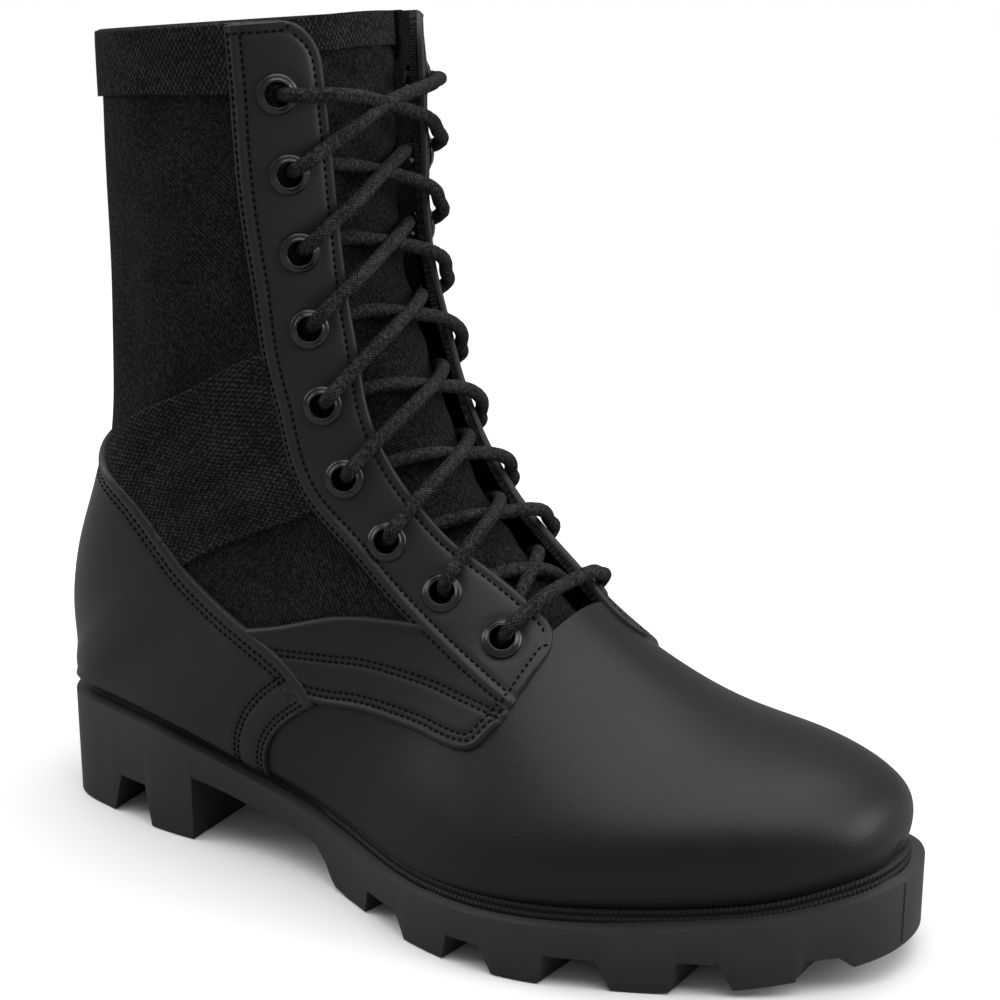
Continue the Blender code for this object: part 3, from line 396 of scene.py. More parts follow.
def closed_sheet(name, outer, inner, keep=None, uv=None, sharp=35):
    """Object with a wall between two grids of points, over the cells that keep marks, with a closed rim."""
    n, m = outer.shape[:2]
    keep = np.ones((n - 1, m - 1), bool) if keep is None else keep
    index = np.arange(n * m).reshape(n, m)
    a, b, c, d = index[:-1, :-1], index[1:, :-1], index[1:, 1:], index[:-1, 1:]
    top = np.stack([a, b, c, d], -1)[keep]
    faces = [top, top[:, ::-1] + n * m]
    beside = np.pad(keep, 1)
    for start, end, free in ((a, b, ~beside[1:-1, :-2]), (b, c, ~beside[2:, 1:-1]),
                             (c, d, ~beside[1:-1, 2:]), (d, a, ~beside[:-2, 1:-1])):
        rim = keep & free
        faces.append(np.stack([end[rim], start[rim], start[rim] + n * m, end[rim] + n * m], -1))
    faces = np.concatenate(faces)
    points = np.concatenate([outer.reshape(-1, 3), inner.reshape(-1, 3)]) + BOOT_ORIGIN
    normal = np.cross(points[top[:, 2]] - points[top[:, 0]], points[top[:, 3]] - points[top[:, 1]])
    if (normal * (points[top[:, 0]] - points[top[:, 0] + n * m])).sum() < 0:
        faces = faces[:, ::-1]
    mesh = bpy.data.meshes.new(name)
    mesh.from_pydata(points.tolist(), [], faces.tolist())
    if uv is not None:
        layer = mesh.uv_layers.new(name="cloth")
        spots = np.empty(len(mesh.loops), np.int32)
        mesh.loops.foreach_get("vertex_index", spots)
        layer.data.foreach_set("uv", uv.reshape(-1, 2)[spots % (n * m)].astype(np.float32).ravel())
    work = bmesh.new()
    work.from_mesh(mesh)
    bmesh.ops.remove_doubles(work, verts=work.verts, dist=0.00001)
    bmesh.ops.delete(work, geom=[v for v in work.verts if not v.link_faces], context="VERTS")
    work.to_mesh(mesh)
    work.free()
    mesh.shade_smooth()
    mesh.set_sharp_from_angle(angle=math.radians(sharp))
    return placed(name, mesh)


def cloudy(nodes, links, shader, clouds, gloss, colour, darkest, lightest):
    """Gloss between two roughnesses, and a shade of the colour, that vary with a cloudy texture."""
    polish = added(nodes, "ShaderNodeMapRange", To_Min=gloss[0], To_Max=gloss[1])
    links.new(clouds.outputs["Fac"], polish.inputs["Value"])
    links.new(polish.outputs["Result"], shader.inputs["Roughness"])
    shade = nodes.new("ShaderNodeMix")
    shade.data_type = "RGBA"
    shade.inputs["A"].default_value = (*(darkest * c for c in colour), 1)
    shade.inputs["B"].default_value = (*(lightest * c for c in colour), 1)
    links.new(clouds.outputs["Fac"], shade.inputs["Factor"])
    links.new(shade.outputs["Result"], shader.inputs["Base Color"])


def leather(name, colour, roughness):
    """Black smooth leather: fine grain, faint cloudy gloss."""
    material, nodes, links, shader = surface(name, colour, roughness, 0.30)
    where = nodes.new("ShaderNodeTexCoord")
    pores = added(nodes, "ShaderNodeTexVoronoi", Scale=1500)
    grain = added(nodes, "ShaderNodeTexNoise", Scale=900, Detail=4)
    clouds = added(nodes, "ShaderNodeTexNoise", Scale=28, Detail=3)
    for texture in (pores, grain, clouds):
        links.new(where.outputs["Object"], texture.inputs["Vector"])
    fine = added(nodes, "ShaderNodeBump", Strength=0.22, Distance=0.00012)
    links.new(pores.outputs["Distance"], fine.inputs["Height"])
    soft = added(nodes, "ShaderNodeBump", Strength=0.25, Distance=0.00010)
    links.new(grain.outputs["Fac"], soft.inputs["Height"])
    links.new(fine.outputs["Normal"], soft.inputs["Normal"])
    links.new(soft.outputs["Normal"], shader.inputs["Normal"])
    cloudy(nodes, links, shader, clouds, (roughness - 0.05, roughness + 0.07), colour, 0.82, 1.2)
    return material


THROAT_START = 8.3
VAMP_BACK = 11.5           # section to which its wings run on, under the counter
VAMP_LIFT, VAMP_WALL, VAMP_SKIVED = 0.0006, 0.0020, 0.0004       # skived thin where other pieces cover it
# Top edge of its wings: section, share
VAMP_TOP = ((8.3, 0.47), (9.0, 0.43), (9.6, 0.41), (10.3, 0.38), (11.0, 0.34), (11.5, 0.30))
rows = np.concatenate([np.linspace(0, 1, 22)[:-1] ** 1.3, np.linspace(1, THROAT_START, 100)[:-1],
                       np.linspace(THROAT_START, VAMP_BACK, 48)])[:, None]
columns = np.linspace(0, 1, 76)[None]
lift = np.broadcast_to(VAMP_LIFT * np.clip(rows / 0.4, 0, 1), (len(rows), columns.size))
seated = np.clip((rows - THROAT_START + 0.9) / 0.7, 0, 1)
wall = (VAMP_WALL + (VAMP_SKIVED - VAMP_WALL) * seated) * np.clip(rows / 0.4, 0.05, 1)
outer = across_both(rows, (columns, columns), lift)
inner = across_both(rows, (columns, columns), lift - wall)
middle_rows = (rows[1:, 0] + rows[:-1, 0]) / 2
middle_columns = (columns[0, 1:] + columns[0, :-1]) / 2
half_keep = middle_columns[None] < np.where(middle_rows < THROAT_START, 2.0,
                                            np.interp(middle_rows, *zip(*VAMP_TOP)))[:, None]
keep = np.concatenate([half_keep, (middle_rows < THROAT_START)[:, None], half_keep[:, ::-1]], 1)
vamp = closed_sheet("vamp", outer, inner, keep)
vamp.data.materials.append(leather("vamp leather", (0.0076, 0.0076, 0.0080), 0.42))
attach(vamp, "root")
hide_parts("upper")

# Canvas shaft
# One sheet of heavy black canvas round the back of the leg, from the sides of the foot up to the
# collar. The laced flaps are its front edges. Small soft dents show where it has stood folded.
CANVAS_WALL = 0.0022
HOLE = 0.0043              # punched hole under an eyelet
EYELETS, EYELET_INSET, EYELET_FIRST, EYELET_LAST = 9, 0.0146, 0.0215, 0.0095


def eyelet_places(side):
    """Sections of the eyelets, evenly spaced along the flap, first at the collar."""
    sections = np.linspace(THROAT_START, COLLAR, 60)
    line = on_last(sections, flap_offset(sections, side, EYELET_INSET), side)
    path = run_length(line)
    return np.interp(np.linspace(path[-1] - EYELET_FIRST, EYELET_LAST, EYELETS), path, sections)


def eyelet_middles(side, lift=0.0):
    """Middles of one side's eyelets, at this height over the last."""
    sections = eyelet_sections[side]
    return on_last(sections, flap_offset(sections, side, EYELET_INSET), side, lift)


eyelet_sections = {side: eyelet_places(side) for side in (-1, 1)}
eyelet_seats = {side: eyelet_middles(side) for side in (-1, 1)}


def punched(points, side):
    """Cells of a grid on one side that are clear of the eyelets' holes."""
    middle = (points[1:, 1:] + points[:-1, :-1]) / 2
    return (np.linalg.norm(middle[:, :, None] - eyelet_seats[side], axis=-1) > HOLE).all(-1)


def woven(name, colour, pitch, depth, ribs=1.0, roughness=0.95, fuzz=0.5):
    """Black woven cloth on a UV map in metres: raised threads with light fluff on them, and painted shade in
    the gaps between them.
    """
    material, nodes, links, shader = surface(name, colour, roughness, 0.06)
    where = nodes.new("ShaderNodeUVMap")
    where.uv_map = "cloth"
    parts = nodes.new("ShaderNodeSeparateXYZ")
    links.new(where.outputs["UV"], parts.inputs["Vector"])

    def maths(operation, *values):
        node = nodes.new("ShaderNodeMath")
        node.operation = operation
        for socket, value in zip(node.inputs, values):
            if isinstance(value, (int, float)):
                socket.default_value = value
            else:
                links.new(value, socket)
        return node.outputs[0]

    u = maths("MULTIPLY", parts.outputs["X"], math.tau / pitch)
    v = maths("MULTIPLY", parts.outputs["Y"], math.tau / (pitch * ribs))
    threads = maths("MULTIPLY", maths("SINE", u), maths("SINE", v))
    height = maths("MULTIPLY_ADD", threads, 0.5, 0.5)
    fluff = added(nodes, "ShaderNodeTexNoise", Scale=950, Detail=5)
    clouds = added(nodes, "ShaderNodeTexNoise", Scale=60)
    places = nodes.new("ShaderNodeTexCoord")
    for texture in (fluff, clouds):
        links.new(places.outputs["Object"], texture.inputs["Vector"])
    # Painted shade: the colour follows the threads' height, dark in the gaps between the threads; light fluff
    # shows only on the raised threads.
    fluff_and_gap_shade = maths("MULTIPLY", height, maths("MULTIPLY", maths("POWER", fluff.outputs["Fac"], 2.5), 3.0))
    rough = maths("ADD", height, maths("MULTIPLY", fluff.outputs["Fac"], fuzz))
    bump = added(nodes, "ShaderNodeBump", Strength=0.8, Distance=depth)
    links.new(rough, bump.inputs["Height"])
    links.new(bump.outputs["Normal"], shader.inputs["Normal"])
    # Darkest stop: painted shade in the gaps between threads; lightest: fluff on the raised threads.
    ramp = nodes.new("ShaderNodeValToRGB")
    for stop, position, shade in zip(ramp.color_ramp.elements, (0.16, 0.60), (0.5, 2.6)):
        stop.position = position
        stop.color = (*(shade * c for c in colour), 1)
    links.new(maths("MULTIPLY", fluff_and_gap_shade, maths("ADD", clouds.outputs["Fac"], 0.5)), ramp.inputs["Fac"])
    links.new(ramp.outputs["Color"], shader.inputs["Base Color"])
    return material


def cloth_map(points):
    """UV in metres for a grid of points: along its rows, then along its columns."""
    across = np.concatenate([np.zeros((len(points), 1)),
                             np.cumsum(np.linalg.norm(np.diff(points, axis=1), axis=2), 1)], 1)
    across -= across[:, across.shape[1] // 2][:, None]
    up = run_length(points[:, points.shape[1] // 4])
    return np.stack([across, np.broadcast_to(up[:, None], across.shape)], -1)


# Dents: section, share, reach in sections, reach in share, depth
CANVAS_DENTS = ((14.6, 0.52, 0.7, 0.05, 0.0012), (17.2, 0.45, 0.9, 0.04, 0.0008),
                (20.6, 0.35, 1.4, 0.05, 0.0009), (21.8, 0.12, 1.2, 0.06, 0.0010),
                (19.2, 0.55, 0.8, 0.03, 0.0006), (12.9, 0.50, 0.6, 0.05, 0.0008))
CANVAS_WAVES = 0.0004      # height of its shallow waves between them


def dented(section, share):
    """How far the canvas sinks in or stands out at this place."""
    depth = np.zeros(np.broadcast(section, share).shape)
    for at, across, long, wide, deep in CANVAS_DENTS:
        aside = share - across
        depth -= deep * np.exp(-((section - at + aside * 6) / long)**2 - (aside / wide)**2)
    return depth + CANVAS_WAVES * np.sin(section * 2.1 + share * 9) * np.sin(share * 14 - section * 0.7)


rows = np.concatenate([np.linspace(8.15, 12, 50)[:-1], np.linspace(12, COLLAR, 170)])[:, None]
columns = np.linspace(0, 1, 90)[None]
shares = [columns * flap_share(rows, side) for side in (-1, 1)]
dents = dented(rows, shares[0]) * np.clip((rows - 11.5) / 1.5, 0, 1) * np.clip((COLLAR - rows) / 0.8, 0, 1)
dents = np.concatenate([dents[:, ::-1], dents], 1)


def back_joined(section, share, lift):
    """Points over both sides of the last, lateral from the flap down to the foot, then medial up again."""
    lift = np.broadcast_to(lift, (len(section), 2 * share[0].shape[1]))
    half = share[0].shape[1]
    lateral = on_last(section, share[0][:, ::-1], -1, lift[:, :half])
    medial = on_last(section, share[1], 1, lift[:, half:])
    return np.concatenate([lateral, medial], 1)


outer = back_joined(rows, shares, dents)
inner = back_joined(rows, shares, dents - CANVAS_WALL)
half = columns.size
keep = np.ones((len(rows) - 1, 2 * half - 1), bool)
keep[(rows[1:, 0] + rows[:-1, 0]) / 2 < HEEL_TURN, half - 1] = False
keep[:, :half - 1] &= punched(outer[:, :half], -1)
keep[:, half:] &= punched(outer[:, half:], 1)
shaft = closed_sheet("canvas_shaft", outer, inner, keep, cloth_map(outer))
canvas = woven("black canvas", (0.0128, 0.0128, 0.0131), 0.00125, 0.00022)
shaft.data.materials.append(canvas)
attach(shaft, "root")
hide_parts("upper")

# Heel counter
# Stiff black leather wrapped round the heel, in one piece, over the rear of the vamp and the side
# panels. Its top edge is folded over two rows of stitches, and two pairs run behind its front edge.
PANEL_LIFT, PANEL_TOP = 0.0007, 0.0022     # underside and face over the last
PANEL_EDGE = 0.0011                        # rounding of a cut edge
UNDERSIDE = PANEL_LIFT - 0.0002
STITCH_PITCH, STITCH_LENGTH, STITCH_RADIUS = 0.0023, 0.0015, 0.00036
SEAM_DEPTH, SEAM_WIDTH, SEAM_FADE = 0.00045, 0.0009, 0.003
COUNTER_FRONT = 10.75
COUNTER_TOP = ((10.7, 0.283), (11.4, 0.333), (12.4, 0.358), (13.4, 0.383), (14.6, 0.417),
               (17.7, 0.383), (19.3, 0.215), (20.1, 0.0))                  # section, share
COUNTER_PEAK = 20.1        # section at which it ends on the middle of the back
COUNTER_BOW = 0.24         # sections by which the front edge curves in
COUNTER_BENT = 2.2         # sections over which it does
COUNTER_TOP_ROWS = (0.0046, 0.0068)        # stitches below the top edge
COUNTER_FRONT_ROWS = (0.0022, 0.0039, 0.0118, 0.0135)      # two pairs behind the front edge
COUNTER_FOLD = (0.0005, 0.0021, 0.0016)    # height, distance from the edge, reach
FOOT_START = 0.004         # share at which its lower edge lies
SEWN_OVER = 0.0001         # height of a stitch's middle over the groove
spots = np.array([on_last(section, share, -1) for section, share in COUNTER_TOP])
knots = run_length(spots)
top_line = smooth_curve(knots, spots)(np.linspace(0, knots[-1], 300))[::-1]
top_heights = []
for section in SECTIONS:
    points = on_last(np.full(201, section), SHARES, -1)
    above = np.nonzero(points[:, 2] > np.interp(points[:, 0], top_line[:, 0], top_line[:, 2]))[0]
    top_heights.append(SHARES[above[0]] if len(above) else 0.0)
top_heights = np.convolve(np.pad(top_heights, 4, "edge"), np.ones(9) / 9, "valid")


def counter_curve(section):
    """Share at which the counter's top edge lies."""
    return np.interp(section, SECTIONS, top_heights)


def near(points, edge):
    """Distance from each grid point to a line of points."""
    flat = points.reshape(-1, 3)
    edge = edge.reshape(-1, 3)
    far = np.empty(len(flat))
    for start in range(0, len(flat), 2000):
        block = flat[start:start + 2000, None] - edge[None]
        far[start:start + 2000] = np.sqrt((block**2).sum(-1).min(1))
    return far.reshape(points.shape[:2])


def finer(line, times=6):
    """The same line of points with more points on it."""
    return spread(np.linspace(0, len(line) - 1, times * len(line)), np.arange(len(line)), line)


def rounded_edge(distance, radius=PANEL_EDGE):
    """Height of a cut edge's rounding as a share of the panel's face."""
    return np.sqrt(1 - (1 - np.clip(distance / radius, 0, 1))**2)


def folded(distance, height, middle, reach):
    """Soft ridge of leather folded over, or a hollow, at this distance from an edge."""
    return height * np.exp(-((distance - middle) / reach)**2)


def seam_sink(distance, rows):
    """Groove that the stitches pull into the panel at each row's distance from its edge."""
    return sum(folded(distance, -SEAM_DEPTH, row, SEAM_WIDTH) for row in rows)


def away_from(distance, start):
    """Share that fades a groove in from this far behind an edge or another seam."""
    return smooth_share((distance - start) / SEAM_FADE)


def stitch_line(points, normals, distance, row, first, last):
    """Line at that distance from an edge: for each line of the grid, from its end at the edge inwards."""
    line, out = [], []
    for i in range(first, last):
        past = np.nonzero(distance[i] > row)[0]
        if not len(past) or past[0] == 0:
            continue
        k = past[0]
        part = (row - distance[i, k - 1]) / (distance[i, k] - distance[i, k - 1])
        line.append(points[i, k - 1] + part * (points[i, k] - points[i, k - 1]))
        out.append(normals[i, k])
    return np.array(line), np.array(out)


stitch_lines = []


def sew(line, out):
    """Keeps a line of stitches for the thread that is made from all of them."""
    if len(line) > 3:
        stitch_lines.append((line, out))


def outwards_of(section, share, side):
    """Outward directions of the last at these places."""
    return on_last(section, share, side, 1.0) - on_last(section, share, side, 0.0)


counter_rows = np.concatenate([np.linspace(COUNTER_FRONT, COUNTER_FRONT + 0.12, 6)[:-1],
                               np.linspace(COUNTER_FRONT + 0.12, COUNTER_PEAK, 190)])[:, None]
v = np.linspace(0, 1, 64)[None]
v = 1 - (1 - v)**1.35
top_shares = counter_curve(counter_rows[:, 0]).clip(0.0005)[:, None]
bent = smooth_share((COUNTER_FRONT + COUNTER_BENT - counter_rows) / COUNTER_BENT)
counter_rows = counter_rows + COUNTER_BOW * np.sin(math.pi * v) * bent
low = np.where(counter_rows[:, :1] <= HEEL_TURN, FOOT_START, 0.0)
shares = low + (top_shares - low) * v
face = {side: on_last(counter_rows, shares, side, PANEL_TOP) for side in (-1, 1)}
heights, counter_far = {}, {}
for side in (-1, 1):
    ridge = np.concatenate([finer(face[side][:, -1]), finer(face[-side][:, -1])])
    top_far, front_far = near(face[side], ridge), near(face[side], finer(face[side][0]))
    counter_far[side] = top_far, front_far
    far = np.minimum(top_far, front_far)
    sink = seam_sink(front_far, COUNTER_FRONT_ROWS) * away_from(top_far, 0.0065)
    sink = sink + seam_sink(top_far, COUNTER_TOP_ROWS) * away_from(front_far, 0.0025)
    fold = folded(top_far, *COUNTER_FOLD)
    heights[side] = PANEL_LIFT + (PANEL_TOP - PANEL_LIFT) * rounded_edge(far) + sink + fold
outer = np.concatenate([on_last(counter_rows, shares, -1, heights[-1])[:, ::-1],
                        on_last(counter_rows, shares, 1, heights[1])], 1)
inner = np.concatenate([on_last(counter_rows, shares, -1, UNDERSIDE)[:, ::-1],
                        on_last(counter_rows, shares, 1, UNDERSIDE)], 1)
keep = np.ones((len(counter_rows) - 1, 2 * v.size - 1), bool)
keep[(counter_rows[1:, 0] + counter_rows[:-1, 0]) / 2 < HEEL_TURN, v.size - 1] = False
counter = closed_sheet("heel_counter", outer, inner, keep)
counter.data.materials.append(leather("counter leather", (0.0155, 0.0155, 0.016), 0.46))
for side in (-1, 1):
    top_far, front_far = counter_far[side]
    seat = on_last(counter_rows, shares, side, heights[side] + SEWN_OVER)
    up = outwards_of(counter_rows, shares, side)
    for row in COUNTER_TOP_ROWS:
        sew(*stitch_line(seat[:, ::-1], up[:, ::-1], top_far[:, ::-1], row, 14, len(seat) - 12))
    for row in COUNTER_FRONT_ROWS:
        sew(*stitch_line(seat.transpose(1, 0, 2), up.transpose(1, 0, 2), front_far.T, row, 1, v.size - 12))
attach(counter, "root")
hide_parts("counter")

# Side panels
# A curved leather saddle on each side joins vamp, canvas and counter. Its rear end lies under the
# counter and its front end under the eyestay, and two double rows of stitches follow its lower edge.
QUARTER_LOW = ((11.25, 0.268), (10.66, 0.300), (10.1, 0.342), (9.5, 0.367), (8.9, 0.383), (8.5, 0.388),
               (8.2, 0.402), (8.04, 0.442))                                # section, share
QUARTER_HIGH = ((12.6, 0.345), (12.1, 0.417), (11.75, 0.483), (11.25, 0.550), (10.75, 0.592))
QUARTER_END = 10.1         # section at which its top edge runs in under the eyestay
EYESTAY_WIDTH = 0.034
# The eyestay's back edge: section, share of EYESTAY_WIDTH
EYESTAY_BACK = ((8.0, 0.90), (9.5, 0.88), (10.9, 0.79), (12.2, 0.77), (13.9, 0.88), (15.4, 0.94),
                (17.0, 1.00), (18.9, 1.00), (20.9, 0.97), (22.6, 0.86), (24.0, 0.80))
back_curve = smooth_curve(*zip(*EYESTAY_BACK))
TUCK = 0.004               # how far a piece runs on under the next one
PANEL_LOW_ROWS = (0.0030, 0.0050)          # stitches above its lower edge
PANEL_FAR_ROWS = (0.0145, 0.0163)
PANEL_TOP_FOLD, PANEL_LOW_FOLD = (0.0005, 0.0018, 0.0014), (0.0003, 0.0014, 0.0010)
ROWS_FROM, ROWS_TO = 10.66, 8.45           # sections between which the far rows follow the lower edge


def back_share(section, side, gap=0.0):
    """Share at which the eyestay's back edge lies, or this far behind it."""
    return flap_offset(section, side, EYESTAY_WIDTH * back_curve(np.asarray(section, float)) + gap)


def tucked(section, side):
    """Section and share of a place that lies under the eyestay."""
    return section, float(back_share(section, side, -TUCK))


def along(table):
    """Curve through (section, share) rows, for u from 0 to 1."""
    table = np.array(table, float)
    steps = np.linalg.norm(np.diff(table, axis=0) * (1, 12), axis=1)
    return smooth_curve(np.concatenate([[0], np.cumsum(steps)]) / steps.sum(), table)


def patch(low, high, rear, front, us, vs):
    """Sections and shares over a patch with four edges: us run from rear to front and vs from low to high."""
    u, v = us[:, None, None], vs[None, :, None]
    corners = ((1 - u) * (1 - v) * rear(np.array([0.0]))[0] + u * (1 - v) * front(np.array([0.0]))[0]
               + (1 - u) * v * rear(np.array([1.0]))[0] + u * v * front(np.array([1.0]))[0])
    grid = ((1 - v) * low(us)[:, None] + v * high(us)[:, None] + (1 - u) * rear(vs)[None]
            + u * front(vs)[None] - corners)
    return grid[..., 0], grid[..., 1]


def crowded(count, power=1.6):
    """Shares from 0 to 1 that lie closer together at both ends."""
    even = np.linspace(-1, 1, count)
    return 0.5 + 0.5 * np.sign(even) * (1 - (1 - np.abs(even))**power)


for side, label in ((-1, "lateral"), (1, "medial")):
    rear = along([QUARTER_LOW[0], (11.9, 0.310), QUARTER_HIGH[0]])
    front = along([QUARTER_LOW[-1], (8.0, 0.50), *(tucked(at, side) for at in (8.2, 9.2, QUARTER_END))])
    top = along([*QUARTER_HIGH, tucked(QUARTER_END, side)])
    section, share = patch(along(QUARTER_LOW), top, rear, front, crowded(90, 1.3), crowded(70, 1.3))
    face = on_last(section, share, side, PANEL_TOP)
    low_far, high_far, front_far = (near(face, finer(line)) for line in (face[:, 0], face[:, -1], face[-1]))
    foot_far = np.minimum(low_far, near(face, finer(face[-1, :24])))
    first, last = (int(np.argmin(np.abs(section[:, 0] - at))) for at in (ROWS_FROM, ROWS_TO))
    run = np.linspace(0, 5, 60)[:, None]
    row_far = near(face, np.concatenate([finer(face[first:last + 1, 0]),
                                         face[last, 0] + run * (face[last, 0] - face[last - 5, 0]),
                                         face[first, 0] + run * (face[first, 0] - face[first + 5, 0])]))
    far = np.minimum(np.minimum(low_far, high_far), front_far)
    sink = (seam_sink(foot_far, PANEL_LOW_ROWS) + seam_sink(row_far, PANEL_FAR_ROWS)) * (high_far > 0.003)
    fold = folded(high_far, *PANEL_TOP_FOLD) + folded(foot_far, *PANEL_LOW_FOLD)
    height = PANEL_LIFT + 0.75 * (PANEL_TOP - PANEL_LIFT) * rounded_edge(far) + sink + fold
    panel = closed_sheet(f"side_panel_{label}", on_last(section, share, side, height),
                         on_last(section, share, side, UNDERSIDE))
    panel.data.materials.append(leather(f"side panel leather {label}", (0.0105, 0.0105, 0.011), 0.48))
    seat, up = on_last(section, share, side, height + SEWN_OVER), outwards_of(section, share, side)
    for far, rows in ((foot_far, PANEL_LOW_ROWS), (row_far, PANEL_FAR_ROWS)):
        for row in rows:
            sew(*stitch_line(seat, up, far, row, 12, len(seat) - 4))
    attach(panel, "root")
    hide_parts(f"quarter_{label}")

# Eyestays
# A long strip of leather along each flap carries the eyelets. Its back edge is folded into a raised
# bead between two rows of stitches, and a single row follows its front edge and its rounded ends.
EYESTAY_FOOT = 0.55        # sections over which its lower end is rounded
EYESTAY_BELOW = {-1: 0.3, 1: 0.74}         # sections by which it runs on below the throat
EYESTAY_BACK_ROWS, EYESTAY_RIM_ROW = (0.0013, 0.0053), 0.0032
EYESTAY_BEAD = (0.0006, 0.0032, 0.0015)    # height, distance from the back edge, reach
EYELET_PRESS = (-0.00035, 0.0064, 0.0016)  # depth, distance from an eyelet's middle, reach
EYESTAY_WAVES, EYESTAY_SEAT = 0.00035, 0.0006
for side, label in ((-1, "lateral"), (1, "medial")):
    us = np.concatenate([np.linspace(0, 0.06, 22)[:-1], np.linspace(0.06, 0.97, 240)[:-1],
                         np.linspace(0.97, 1, 10)])
    foot = THROAT_START - EYESTAY_BELOW[side]
    section = (foot + (COLLAR - foot) * us)[:, None]
    vs = crowded(46, 1.5)[None]
    front, back = flap_share(section, side), back_share(section, side)
    rounded = np.clip(1 - (section - foot) / EYESTAY_FOOT, 0, 1)
    front = front - 0.085 * rounded**2.6
    share = front + (back - front) * vs
    section = np.broadcast_to(section + 0.10 * rounded**3 * (1 - vs), share.shape)
    face = on_last(section, share, side, PANEL_TOP)
    front_far, back_far, foot_far, top_far = (near(face, finer(line))
                                              for line in (face[:, 0], face[:, -1], face[0], face[-1]))
    rim_far = np.minimum(front_far, np.minimum(foot_far, top_far))
    sink = seam_sink(rim_far, (EYESTAY_RIM_ROW,)) * away_from(back_far, 0.004)
    sink = sink + seam_sink(back_far, EYESTAY_BACK_ROWS)
    fold = folded(back_far, *EYESTAY_BEAD)
    ring = np.linalg.norm(face[:, :, None] - eyelet_middles(side, PANEL_TOP), axis=-1).min(-1)
    press = folded(ring, *EYELET_PRESS)
    wavy = EYESTAY_WAVES * np.sin(section * 3.1 + 4 * vs) * np.sin(vs * math.pi)
    height = PANEL_LIFT + (PANEL_TOP - PANEL_LIFT) * rounded_edge(np.minimum(rim_far, back_far))
    height = height + sink + fold + press + wavy
    eyestay = closed_sheet(f"eyestay_strip_{label}", on_last(section, share, side, height),
                           on_last(section, share, side, PANEL_LIFT - EYESTAY_SEAT),
                           punched(on_last(section, share, side), side))
    eyestay.data.materials.append(leather(f"eyestay leather {label}", (0.0160, 0.0160, 0.0166), 0.45))
    seat, up = on_last(section, share, side, height + SEWN_OVER), outwards_of(section, share, side)
    for row in EYESTAY_BACK_ROWS:
        sew(*stitch_line(seat[:, ::-1], up[:, ::-1], back_far[:, ::-1], row, 4, len(seat) - 3))
    sew(*stitch_line(seat, up, front_far, EYESTAY_RIM_ROW, 8, len(seat) - 6))
    turned, turned_up = seat.transpose(1, 0, 2), up.transpose(1, 0, 2)
    sew(*stitch_line(turned[:, ::-1], turned_up[:, ::-1], top_far.T[:, ::-1], EYESTAY_RIM_ROW, 6, 40))
    sew(*stitch_line(turned, turned_up, foot_far.T, EYESTAY_RIM_ROW, 6, 40))
    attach(eyestay, "root")
    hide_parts(f"eyestay_{label}")

# Ankle bands
# Wide coarse webbing across the canvas on each side, from the heel counter up to the eyestay, with
# its ends caught under both.
ANKLE_HIGH = ((19.5, 0.205), (18.9, 0.433), (18.2, 0.575), (17.8, 0.670), (17.3, 0.740))
ANKLE_LOW = ((14.7, 0.380), (14.5, 0.432), (14.2, 0.508), (13.8, 0.583), (13.35, 0.680))
WEBBING_LOW, WEBBING_TOP, WEBBING_UNDER = 0.0002, 0.0015, -0.0006     # selvedge, face and underside
webbing = woven("black webbing", (0.0150, 0.0150, 0.0153), 0.0016, 0.00025, ribs=1.6, fuzz=0.8)
for side, label in ((-1, "lateral"), (1, "medial")):
    low, high = list(ANKLE_LOW), list(ANKLE_HIGH)
    low[-1], high[-1] = tucked(low[-1][0], side), tucked(high[-1][0], side)
    rear = [low[0]] + [(t, float(counter_curve(t)) - 0.03) for t in (15.4, 16.4, 17.4, 18.3)] + [high[0]]
    front = [tucked(t, side) for t in np.linspace(low[-1][0], high[-1][0], 6)]
    section, share = patch(along(low), along(high), along(rear), along(front),
                           np.linspace(0, 1, 110), crowded(90, 1.2))
    face = on_last(section, share, side, WEBBING_TOP)
    far = np.minimum(near(face, finer(face[:, 0])), near(face, finer(face[:, -1])))
    waves = 0.00025 * np.sin(section * 4.2 + share * 25) + dented(section, share) * 0.7
    height = WEBBING_LOW + (WEBBING_TOP - WEBBING_LOW) * rounded_edge(far, 0.0007) + waves
    band = closed_sheet(f"ankle_webbing_{label}", on_last(section, share, side, height),
                        on_last(section, share, side, WEBBING_UNDER), None, cloth_map(face))
    band.data.materials.append(webbing)
    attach(band, "root")
    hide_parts(f"ankle_band_{label}")

# Collar binding
# The same webbing is folded over the shaft's top edge, from one eyestay round the back to the other.
# It hides the cut edge of the canvas inside and out.
COLLAR_LOW = ((23.35, 0.0), (23.3, 0.267), (23.1, 0.467), (22.75, 0.635))
collar_curve = along(COLLAR_LOW)
# Its way over the rim: share of its height, lift
COLLAR_PATH = ((0.0, 0.0015), (0.45, 0.0016), (0.9, 0.0016), (0.985, 0.0012), (1.01, 0.0),
               (1.012, -0.0012), (1.0, -0.0026), (0.97, -0.0034), (0.8, -0.0037), (0.3, -0.0037))
way = smooth_curve(np.linspace(0, 1, len(COLLAR_PATH)), COLLAR_PATH)(np.linspace(0, 1, 44))
us = np.linspace(0, 1, 90)
lows = collar_curve(us)
for_sides = []
for side in (-1, 1):
    share = us * back_share(np.full(us.size, 23.6), side, -TUCK)
    section = lows[:, :1] + (COLLAR - lows[:, :1]) * way[None, :, 0]
    outer = on_last(section, share[:, None], side, way[None, :, 1])
    inside = way[None, :, 1] + (-0.0011 - way[None, :, 1]) * 0.55
    inner = on_last(section - 0.03 * (way[None, :, 0] > 0.95), share[:, None], side, inside)
    for_sides.append((outer, inner))
outer = np.concatenate([for_sides[0][0][::-1], for_sides[1][0][1:]])
inner = np.concatenate([for_sides[0][1][::-1], for_sides[1][1][1:]])
collar_map = cloth_map(outer.transpose(1, 0, 2)).transpose(1, 0, 2)
collar = closed_sheet("collar_binding", outer, inner, None, collar_map, 60)
collar.data.materials.append(webbing)
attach(collar, "root")
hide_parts("collar_band")

